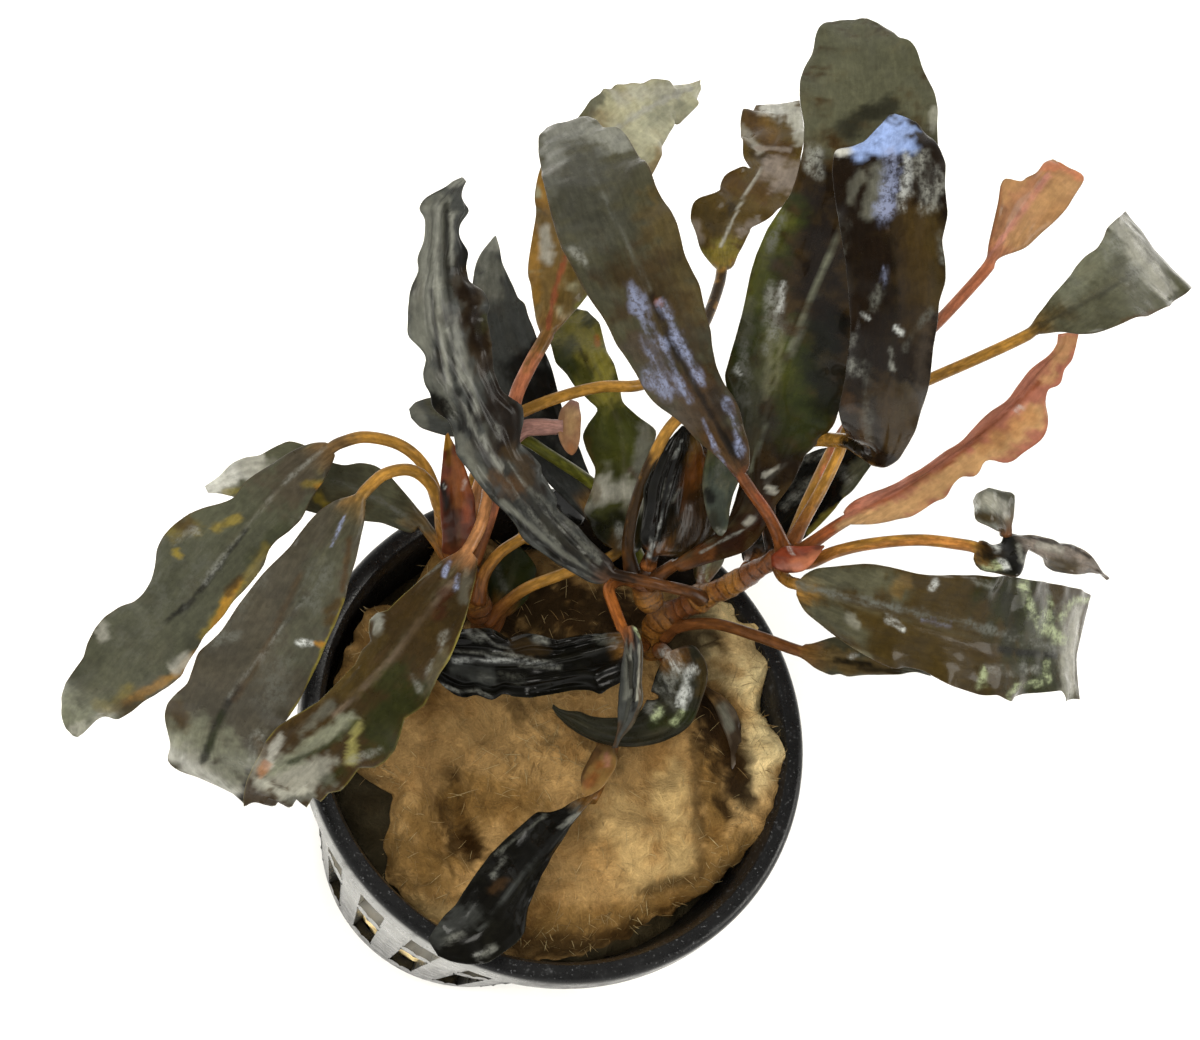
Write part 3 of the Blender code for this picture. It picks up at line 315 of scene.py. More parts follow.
        blade=[(524, 537, 7.4, 1.8, 0), (550, 519, 5.4, 4, 0), (570, 506, 3.2, 4.2, 0),
               (590, 494, 1.4, 3.4, 0)]),
    "leaf_striped_small": dict(
        finish="GREY_OLIVE", ruffle=0.2, tip=3, point=1.5,
        stalk=[(703, 592, 4.6), (703, 586, 4.2)],
        blade=[(703, 578, 4.6, 1.8, 0), (708, 560, 5.4, 3, 0), (714, 535, 6.6, 3.2, 0),
               (720, 512, 7.4, 2.6, 0)]),
}

# Papery sheaths at the crowns, and the young flower with its stalk: rows as for blades
SHEATHS = {
    "crown_sheath_left": dict(
        finish="SHEATH_RED", fold=30, tip=4, point=1.2,
        blade=[(460, 553, 11.4, 1.6, 0), (459, 533, 14.4, 2.4, 0), (456, 500, 17.4, 2.4, 0),
               (452, 462, 20.4, 2.2, 0), (447, 432, 22, 1.6, 0)]),
    "crown_sheath_right": dict(
        finish="SHEATH_RED", fold=25, tip=3, point=1.4,
        blade=[(774, 561, 17.8, 1.4, 0), (787, 560, 19.2, 2.4, 0), (803, 557, 20.8, 2.6, 0),
               (824, 546, 23, 1.8, 0)]),
    "sheath_over_rim_leaf": dict(
        finish="SHEATH_BROWN", fold=20, tip=2, point=1.6,
        blade=[(607, 744, -1.4, 1.6, 0), (603, 760, -0.6, 2.6, 0), (594, 778, 0.2, 2.6, 0),
               (583, 797, 0.8, 1.8, 0)]),
    "spathe": dict(
        finish="SPATHE_CREAM", fold=20, tip=2, point=2,
        blade=[(574, 403, 15.2, 1, 0), (570, 415, 15.4, 2, 0), (569, 430, 15.6, 2.2, 0),
               (572, 455, 14.6, 1.6, 0)]),
}
FLOWER_STALK = [(466, 563, 3.8), (475, 532, 5.6), (484, 505, 8.4), (497, 466, 12.2),
                (510, 442, 14), (524, 429, 14.8), (540, 427, 15.2), (553, 427, 15.4)]

# Where the plug's top edge falls back from the wall: direction in degrees, depth, spread in degrees
PLUG_NOTCHES = [(202, 4.8, 13), (5, -1.1, 40), (308, 1.0, 12), (136, 1.6, 8), (33, -1.3, 12)]
# How far its edge climbs the wall, by direction in degrees, and the radii between which it climbs
PLUG_CLIMB = [(-60, 0), (-42, 1.6), (-22, 4.6), (-10, 5.9), (0, 6.0), (6, 5.0), (11, 2.8), (16, 4.4),
              (22, 6.0), (34, 5.6), (46, 3.4), (62, 0), (100, 0), (112, 4.0), (124, 5.0), (132, 3.0),
              (140, 2.4), (146, 4.8), (155, 5.8), (170, 5.4), (180, 3.6), (190, 0)]
CLIMB_FROM = 15.5
CLIMB_TO = 21.3
# Ridges and creases of its top: picture line from, to, height, half width
PLUG_FOLDS = [((440, 760), (472, 850), -2.8, 2.2), ((697, 720), (700, 880), 1.8, 2.0),
              ((600, 790), (640, 880), 0.9, 2.6), ((520, 700), (430, 740), 1.0, 3.0),
              ((650, 780), (560, 830), -1.0, 2.0), ((742, 700), (768, 760), 0.5, 2.0)]

# Colours, by what they are seen on. Some stand for light and shade painted into the colour, as noted above
# their lines.
SHADES = {
    "olive": "4A4836", "grey_olive": "535443", "brown_grey": "54493C", "deep_olive": "2C2B20",
    "near_black": "100F0B", "slate": "454744", "slate_light": "73746A", "slate_pale": "94958B",
    "leaf_green": "3D3F18", "fresh_green": "4F5520", "brown_olive": "5C4A22", "umber": "3E2F18",
    "bronze": "47391A", "pale_olive": "A9A686", "cream_green": "C3C1A2", "gold_olive": "7A5C28",
    # B4B3A4 is painted light on leaf tips, margins and streaks: the bright surroundings reflected in them.
    "moss": "646628", "moss_dark": "30380F", "grey_green": "5C5C48", "pale_end": "B4B3A4",
    "tip_grey": "82846F", "olive_top": "5B5B46", "young_rose": "B0705A", "young_tan": "C79C6A",
    "young_orange": "B08458", "pink_line": "C98A78", "underside": "4A402C", "olive_rib": "6A6650",
    "brown_edge": "4E3A22", "red_edge": "8A4A2C", "yellow_edge": "8E8238", "gold_stalk": "BC8A3C",
    "tan_stalk": "C08040", "gold_brown": "3E2C08", "red_foot": "87522A", "red_stalk": "A8522A",
    "salmon_stalk": "D0805A", "green_stalk": "75762C", "brown_stalk": "6E4422", "pink_stalk": "C68A58",
    # BDBBAE marks small pale flecks, most of them painted glints.
    "pink_rib": "A0563A", "yellow": "A08A2C", "gold": "B8842A", "spot_brown": "4A3A20", "chip": "BDBBAE",
    "orange": "A66028", "grey_brown": "504B3E", "umber_dark": "362A12", "papery": "8C5426",
    # A2A3A1 is a painted highlight on the pot's near left wall.
    "lit_moss": "8A8238", "dark_brown": "1C130A", "paper_grey": "A2A3A1", "brown": "523A20",
    # 0E0D0A is painted deep shadow in holes, grooves and folds and on the wool under the lip; 6C6C60 is
    # mostly a painted grey sheen.
    "dark_green": "2A3012", "soot": "0E0D0A", "haze": "6C6C60", "olive_light": "9C9658",
    # 9DB6EC is a painted reflection of the sky, and D9D9CF a painted white reflection on tips and edges.
    "glare_blue": "8C95B4", "sky": "9DB6EC", "veil": "D9D9CF", "mushroom": "978A7E",
    "shadow_brown": "2E2012", "glare_white": "D6DAD6", "glare_grey": "8B8C84", "glare_green": "B4C094",
    "glare_dim": "63645C", "wool_tan": "C09A62", "wool_brown": "92703E", "wool_dark": "3A2812",
    "wool_cream": "FAE2A8", "wool_pale": "DEBE82", "pot_black": "0D0D0D", "pot_grey": "1E1E1F",
    "scuff_grey": "6E7072", "bark_red": "70401A", "bark_gold": "966426", "bark_dark": "2E180E",
    # 7E4824 is painted shadow on a stalk in the shaded crown.
    "flower_pink": "C8988C", "maroon": "3E1A0E", "stalk_shade": "7E4824", "rib_grey": "6E5F4E",
    "teal_grey": "38403A", "brown_glow": "6A3C10", "crown_red": "8E4026", "sheath_rust": "66301A",
    "sheath_brown": "7A4E24", "spathe_beige": "B08460",
}

# How each of the part's finishes looks
STYLES = {
    "GREY_OLIVE": dict(look="grey", slot="leaf_grey_olive", shades=dict(blade="grey_olive")),
    "DARK_OLIVE": dict(look="dark", slot="leaf_dark_olive", shades=dict(blade="olive")),
    "NEAR_BLACK": dict(look="black", slot="leaf_near_black", shades=dict(blade="near_black",
                       rib="deep_olive", edge="deep_olive", under="deep_olive")),
    "LEAF_GREEN": dict(look="green", slot="leaf_green", shades=dict(blade="leaf_green")),
    "BROWN_OLIVE": dict(look="green", slot="leaf_brown_olive", shades=dict(blade="brown_olive")),
    "PALE_OLIVE": dict(look="pale", slot="leaf_pale_olive", shades=dict(blade="pale_olive", rib="pink_rib",
                       under="gold_olive")),
    "YOUNG_ORANGE": dict(look="young", slot="leaf_young_orange", shades=dict(blade="young_orange",
                         rib="pink_line", edge="red_edge", under="young_orange")),
    "SHEATH_RED": dict(look="young", slot="sheath_red", shades=dict(blade="sheath_rust", edge="red_edge",
                       under="sheath_rust", foot="sheath_rust")),
    "SHEATH_BROWN": dict(look="young", slot="sheath_brown", shades=dict(blade="sheath_brown",
                         under="brown")),
    "SPATHE_CREAM": dict(look="young", slot="spathe_cream", shades=dict(blade="spathe_beige",
                         edge="spathe_beige", under="brown", foot="flower_pink")),
}
# What the kinds of leaf surface are made from: the second colour, roughness, streaks and wet coat
LOOKS = {
    "grey": dict(second="brown_grey", gloss=0.34, streak=0.35, coat=0.08),
    "dark": dict(second="bronze", gloss=0.28, streak=0.4, coat=0.12),
    "black": dict(second="deep_olive", gloss=0.17, streak=0.6, coat=0.14),
    "green": dict(second="brown_olive", gloss=0.3, streak=0.3, coat=0.12),
    "pale": dict(second="gold_olive", gloss=0.4, streak=0.3, coat=0.1),
    "young": dict(second="red_edge", gloss=0.36, streak=0.3, coat=0.12),
}

# A leaf's own values where the tables say nothing else. wave is the length of the margin's waves, wing
# the length of stalk that the margins may widen, stout how thick the stalk is, steady and soften how
# far the blade's directions and margins are evened out, and end the shape of a blunt end.
PLAIN_LEAF = dict(stalk=(), end=(), blunt=False, wing=0, stout=1, steady=STEADY_REACH, soften=1.1,
                  ruffle=0.1, wave=7.5, fold=5, pleat=0.04, lumps=1.0)
PLAIN_SHADES = dict(under="underside", rib="olive_rib", edge="brown_edge", foot="red_foot",
                    stalk="gold_stalk")
# What is particular to single leaves
DETAILS = {
    "leaf_far_left": dict(ruffle=0.45, lumps=1.3),
    "leaf_left_middle": dict(ruffle=0.4, shades=dict(blade="grey_brown")),
    "leaf_left_inner": dict(ruffle=0.5, soften=0.5, shades=dict(blade="umber", foot="red_foot",
                            stalk="pink_stalk", edge="yellow_edge")),
    "leaf_left_behind": dict(shades=dict(blade="grey_green")),
    "leaf_long_wavy": dict(look="grey", pleat=0.1, ruffle=0.6, wave=5.5, shades=dict(blade="slate",
                           stalk="brown_stalk", foot="brown_stalk", edge="deep_olive")),
    "leaf_behind_wavy": dict(look="grey", shades=dict(blade="slate")),
    "leaf_pale_top": dict(stout=1.2, shades=dict(blade="pale_olive", rib="pink_rib", under="gold_olive",
                          stalk="salmon_stalk", foot="red_foot")),
    "leaf_centre": dict(look="dark", lumps=1.2, shades=dict(blade="olive", foot="red_foot",
                        stalk="red_stalk")),
    "leaf_top_right": dict(wing=10.5, shades=dict(blade="umber", stalk="brown_stalk", foot="brown_stalk")),
    "leaf_top_right_front": dict(look="dark", steady=9, stout=1.25, shades=dict(blade="dark_brown",
                                 edge="dark_brown", rib="deep_olive")),
    "leaf_young_upper": dict(shades=dict(blade="young_orange", rib="pink_line", stalk="salmon_stalk")),
    "leaf_grey_right": dict(look="dark", blunt=True, end=((-1, -0.5), (0, -1.1), (1, -0.5)),
                            shades=dict(blade="grey_green")),
    "leaf_young_folded": dict(shades=dict(blade="young_rose", rib="young_rose", edge="red_edge",
                              under="young_tan", stalk="red_stalk")),
    "leaf_crumpled_right": dict(lumps=1.6, shades=dict(blade="deep_olive", stalk="gold_stalk",
                                foot="orange")),
    "leaf_curled_right": dict(lumps=1.4, shades=dict(blade="slate_light", under="slate_pale")),
    "leaf_big_right": dict(blunt=True, end=((-1, 1.0), (-0.6, -0.5), (0, -0.9), (0.5, -1.1), (1, -0.3)),
                           shades=dict(blade="bronze")),
    "leaf_under_big_right": dict(shades=dict(blade="olive", stalk="brown_stalk")),
    "leaf_top_brown": dict(lumps=1.6, wave=5, ruffle=0.5, shades=dict(blade="brown_olive",
                           stalk="gold_stalk", foot="gold_stalk")),
    "leaf_edge_on": dict(pleat=0.2, wing=1),
    "sheath_over_rim_leaf": dict(shades=dict(blade="wool_brown", under="brown", foot="brown", stalk="brown",
                                 edge="wool_pale")),
    "leaf_narrow_in_pot": dict(pleat=0.22, shades=dict(blade="slate", stalk="orange")),
    "leaf_black_in_pot": dict(pleat=0.3, lumps=1.5),
    "leaf_hooked_in_pot": dict(pleat=0.15, shades=dict(blade="deep_olive")),
    "leaf_over_rim": dict(lumps=1.8, ruffle=0.5),
    "leaf_thin_on_wool": dict(look="grey", shades=dict(blade="brown_grey")),
    "leaf_hanging_centre": dict(shades=dict(blade="grey_green", stalk="gold_stalk")),
    "leaf_round_behind_left": dict(look="grey", shades=dict(blade="slate", stalk="green_stalk",
                                   foot="green_stalk")),
    "leaf_green_behind_stalks": dict(shades=dict(blade="dark_green")),
    "leaf_striped_small": dict(pleat=0.2, shades=dict(blade="tip_grey")),
    "leaf_dark_behind_right": dict(lumps=1.4, wing=2.5),
}


def marks(text):
    """Picture points from words like 345,447."""
    return [tuple(float(part) for part in word.split(",")) for word in text.split()]


# The blades' margins as they are seen: picture points from base to tip, left-hand then right-hand
MARGINS = {
    "leaf_far_left": (
        "345,447 335,456 330,470 323,483 316,492 308,505 300,520 290,532 278,540 270,550 265,565 255,578 "
        "245,590 235,600 225,615 215,625 205,635 198,648 190,660 185,672 175,680 165,688 155,695 145,700 "
        "135,708 120,716 105,717 95,722 85,732 78,737",
        "338,437 320,440 300,447 280,458 262,470 245,482 235,498 222,503 205,507 190,513 175,524 165,535 "
        "158,548 156,565 152,580 145,592 135,600 120,606 105,616 95,628 88,642 85,655 75,668 66,682 "
        "60,698 61,712 66,728 72,735"),
    "leaf_left_middle": (
        "366,500 365,520 360,540 355,560 350,580 345,600 337,620 328,640 320,660 310,680 300,700 290,715 "
        "283,725 275,740 268,752 262,765 256,775 253,790 250,803",
        "355,495 335,500 320,510 310,520 300,532 290,545 275,560 262,575 250,590 240,602 232,615 222,630 "
        "210,642 198,652 195,665 190,680 178,690 168,702 164,715 168,730 172,745 165,757 175,765 190,770 "
        "205,780 220,787 232,793 240,800 246,806"),
    "leaf_left_inner": (
        "478,560 475,580 470,600 465,620 458,640 450,660 440,675 432,690 425,705 415,712 405,718 400,735 "
        "395,750 385,762 375,768 360,768 350,780 342,788 330,790 322,800 314,794 308,806 298,796 291,809 "
        "281,798 274,808 265,797",
        "455,553 440,562 425,575 410,590 397,602 388,611 377,613 369,620 368,632 371,641 362,650 355,665 "
        "345,675 330,690 318,702 305,710 292,716 278,724 267,738 261,752 253,766 248,778 244,795 244,806"),
    "leaf_left_behind": (
        "420,538 400,530 380,522 360,520 340,515 320,514 300,508 270,500 240,498 220,494 208,493",
        "415,505 402,490 390,475 375,465 360,462 345,465 325,460 305,445 290,440 275,447 262,455 245,457 "
        "230,464 218,477 205,486"),
    "leaf_long_wavy": (
        "612,586 600,585 590,583 572,572 555,563 540,552 525,541 515,530 505,512 492,500 480,490 470,475 "
        "462,460 455,445 450,430 445,420 437,415 432,405 435,395 425,385 420,370 423,360 415,345 407,335 "
        "408,325 410,315 404,295 408,285 418,270 420,255 421,235 420,210 425,198 437,190 450,182 462,177",
        "632,574 615,562 600,550 590,540 580,530 568,517 556,505 551,495 546,480 538,465 530,455 522,445 "
        "523,420 520,405 510,398 500,390 492,370 488,350 490,330 487,310 480,290 470,280 462,270 465,255 "
        "464,240 457,228 461,215 460,195 466,182"),
    "leaf_behind_wavy": (
        "",
        "600,500 580,450 565,415 553,372 545,352 540,345 533,325 528,315 525,303 518,300 514,288 508,275 "
        "502,262 500,248 496,236"),
    "leaf_pale_top": (
        "541,335 536,322 532,300 529,275 530,250 533,220 535,195 539,170 548,150 560,135 572,125 580,115 "
        "584,107 590,102 597,97 603,88 611,90 619,81 626,84 633,82 640,85 648,80 658,82 672,85 688,84 "
        "698,80",
        "553,335 563,325 575,310 590,292 610,270 630,240 642,210 650,180 656,165 662,150 666,135 670,126 "
        "676,120 681,125 686,115 689,102 696,99 701,90"),
    "leaf_centre": (
        "737,480 725,465 712,452 697,440 682,425 668,412 655,400 645,390 637,375 628,360 618,345 610,330 "
        "603,318 592,303 583,288 574,270 563,252 556,232 551,215 547,195 543,180 540,165 538,150 541,138 "
        "547,127 560,125",
        "750,470 750,450 745,430 740,410 733,395 724,382 716,365 712,345 711,330 707,315 703,300 700,285 "
        "692,270 685,255 682,240 678,225 671,211 664,201 657,190 652,175 645,163 637,153 630,142 622,133 "
        "612,134 604,130 597,122 588,118 575,121"),
    "leaf_top_right": (
        "668,564 690,550 706,539 720,531 728,520 734,503 739,485 743,465 740,450 733,430 728,400 725,370 "
        "735,340 745,300 750,275 757,250 768,225 782,207 790,195 797,175 803,150 804,125 800,105 800,85 "
        "804,68 812,55 816,40 827,28 840,21 855,19",
        "670,577 700,566 725,559 745,552 758,540 768,522 775,505 790,485 799,470 805,456 815,445 835,420 "
        "850,380 880,330 905,280 920,230 932,180 938,150 937,130 938,112 935,95 928,80 922,68 918,55 "
        "912,47 900,42 893,32 880,23 868,18"),
    "leaf_top_right_front": (
        "856,455 847,440 842,422 838,405 845,380 848,350 850,320 848,290 845,260 840,230 835,200 832,175 "
        "835,155 848,148 865,142 880,128 889,116",
        "872,466 885,468 898,461 910,442 925,400 930,370 933,345 938,320 938,300 945,280 945,262 942,240 "
        "948,215 945,190 946,165 940,150 930,140 918,128 905,118 896,114"),
    "leaf_young_upper": (
        "987,258 988,245 991,231 994,213 998,196 1002,182 1007,175 1008,181 1016,184 1022,182 1026,177 "
        "1034,175 1040,166 1047,162 1052,160",
        "995,261 1003,256 1016,252 1026,248 1034,241 1044,231 1052,224 1061,214 1071,200 1079,189 "
        "1087,177 1079,173 1069,169 1061,164"),
    "leaf_grey_right": (
        "1029,328 1037,315 1044,307 1051,297 1061,286 1072,273 1076,266 1083,258 1094,251 1100,242 "
        "1103,237 1106,228 1113,221 1120,216",
        "1036,334 1045,334 1060,332 1078,335 1092,334 1106,330 1122,325 1131,321 1145,318 1157,312 "
        "1167,308 1174,301 1181,297"),
    "leaf_young_folded": (
        "835,517 851,502 868,492 884,483 900,475 914,465 931,454 945,442 960,433 970,423 981,412 994,399 "
        "1005,388 1016,378 1027,368 1040,358 1051,349 1056,342 1057,333",
        "841,528 851,525 872,524 891,518 907,511 915,504 924,497 933,491 943,486 950,475 960,468 971,468 "
        "977,463 982,454 992,452 1000,453 1008,449 1016,441 1027,433 1034,428 1040,420 1043,410 1041,400 "
        "1043,391 1045,384 1052,382 1057,377 1061,366 1071,358 1075,346 1078,333"),
    "leaf_crumpled_right": (
        "976,541 985,538 990,545 1000,545 1003,535 1010,532 1018,536 1024,535 1032,535 1040,537 1050,539 "
        "1059,543 1068,544 1076,545 1083,549 1089,558 1096,566 1104,573 1110,578",
        "970,556 966,562 963,568 975,570 990,572 1003,575 1012,578 1019,577 1024,568 1027,556 1029,547 "
        "1036,554 1045,561 1051,568 1058,573 1070,574 1080,574 1092,573 1101,575 1106,580"),
    "leaf_curled_right": (
        "1000,532 990,530 983,525 977,523 972,526 976,512 973,500 977,493 985,490",
        "1013,530 1008,522 1010,512 1013,498 1011,493 1000,490 990,488"),
    "leaf_big_right": (
        "804,574 816,568 830,567 844,565 860,564 876,565 888,566 897,568 914,571 938,574 955,574 975,574 "
        "993,574 1010,576 1024,579 1039,581 1056,585 1072,589 1083,594 1092,599",
        "793,592 798,602 807,614 822,625 832,634 844,643 859,651 876,660 890,666 905,667 922,670 936,678 "
        "950,685 964,690 979,695 991,693 1000,698 1010,702 1017,697 1029,694 1044,692 1055,690 1063,702 "
        "1073,699"),
    "leaf_under_big_right": (
        "",
        "805,660 814,668 822,672 831,676 838,673 846,677 864,675 880,675 904,674 916,672 930,676"),
    "leaf_top_brown": (
        "712,265 700,250 696,238 690,222 691,205 697,199 712,196 722,188 727,172 738,171 750,172 742,150 "
        "740,125 745,112 752,115 756,107",
        "733,268 738,255 745,242 752,227 765,222 775,212 786,205 797,193 803,178 800,160 805,140 803,120 "
        "800,102"),
    "leaf_green_centre": (
        "606,556 596,540 590,525 583,510 592,490 596,470 586,450 582,435 590,420 600,410 590,402 575,388 "
        "567,375 556,365 552,350 548,338 560,322 573,308",
        "640,552 648,530 650,505 648,480 652,450 658,430 640,418 622,402 620,385 615,365 607,352 604,340 "
        "600,325 588,312"),
    "leaf_edge_on": (
        "638,560 639,542 640,525 642,505 645,488 650,470 657,453 668,438 682,426",
        "668,560 690,557 710,545 719,525 721,500 718,480 712,460 706,445 698,432 691,424"),
    "leaf_black_in_pot": (
        "632,670 625,680 615,685 603,690 594,697 588,690 575,690 560,693 545,695 530,697 510,696 501,691 "
        "493,700 485,697 475,692 465,697 455,695 447,690 440,683 430,672 424,660",
        "628,631 610,632 600,633 585,634 570,637 555,640 540,635 530,633 520,636 510,640 500,633 490,627 "
        "475,627 462,629 450,632 435,638 426,646"),
    "leaf_hooked_in_pot": (
        "692,642 700,652 707,662 709,675 706,688 702,700 697,714 690,725 680,734 665,742 650,746 635,748 "
        "612,746 595,742 580,735 567,726 557,716 552,708",
        "663,648 660,660 656,675 652,690 646,702 640,712 625,717 605,718 590,716 580,711 570,711 560,709 "
        "553,704"),
    "leaf_narrow_in_pot": (
        "634,622 638,632 642,645 643,660 642,675 643,690 640,704 634,714 628,724 622,735 617,748",
        "624,632 626,645 625,660 624,680 624,700 622,712 619,725 615,738 612,748"),
    "leaf_thin_on_wool": (
        "712,690 724,696 736,710 741,725 743,742 748,760 755,770 757,779 752,787",
        "705,694 714,706 720,722 727,738 731,752 731,765 734,778 738,786 746,790"),
    "leaf_over_rim": (
        "592,796 585,805 578,815 570,828 563,840 555,852 548,865 540,878 535,890 530,905 527,920 525,932 "
        "515,945 500,955 488,963 470,965 452,962 438,956",
        "586,796 575,800 562,808 548,812 540,810 530,818 520,828 510,837 500,845 490,855 483,865 475,875 "
        "468,885 461,895 456,905 448,912 440,920 433,930 428,940"),
    "leaf_hanging_centre": (
        "735,440 738,455 740,470 739,482 733,495 730,508 729,520 727,530 722,536",
        "710,440 706,455 703,470 702,485 704,500 707,515 712,528 718,535"),
    "leaf_dark_behind_right": (
        "740,554 745,540 750,522 757,505 766,490 778,476 792,465 803,456 818,449 835,446 850,440 865,438 "
        "875,442",
        "762,562 775,552 790,547 803,540 815,530 825,520 835,509 842,499 852,492 858,484 865,474 873,463 "
        "878,452"),
    "leaf_round_behind_left": (
        "495,440 480,436 465,436 450,437 435,433 420,428 411,418",
        "495,410 478,400 462,400 447,400 430,397 415,402 409,409"),
    "crown_sheath_left": (
        "441,548 442,530 440,510 439,490 441,470 443,450 445,436",
        "474,545 476,520 474,490 466,468 458,450 451,438 448,432"),
}
MARGINS = {name: tuple(marks(side) for side in sides) for name, sides in MARGINS.items()}
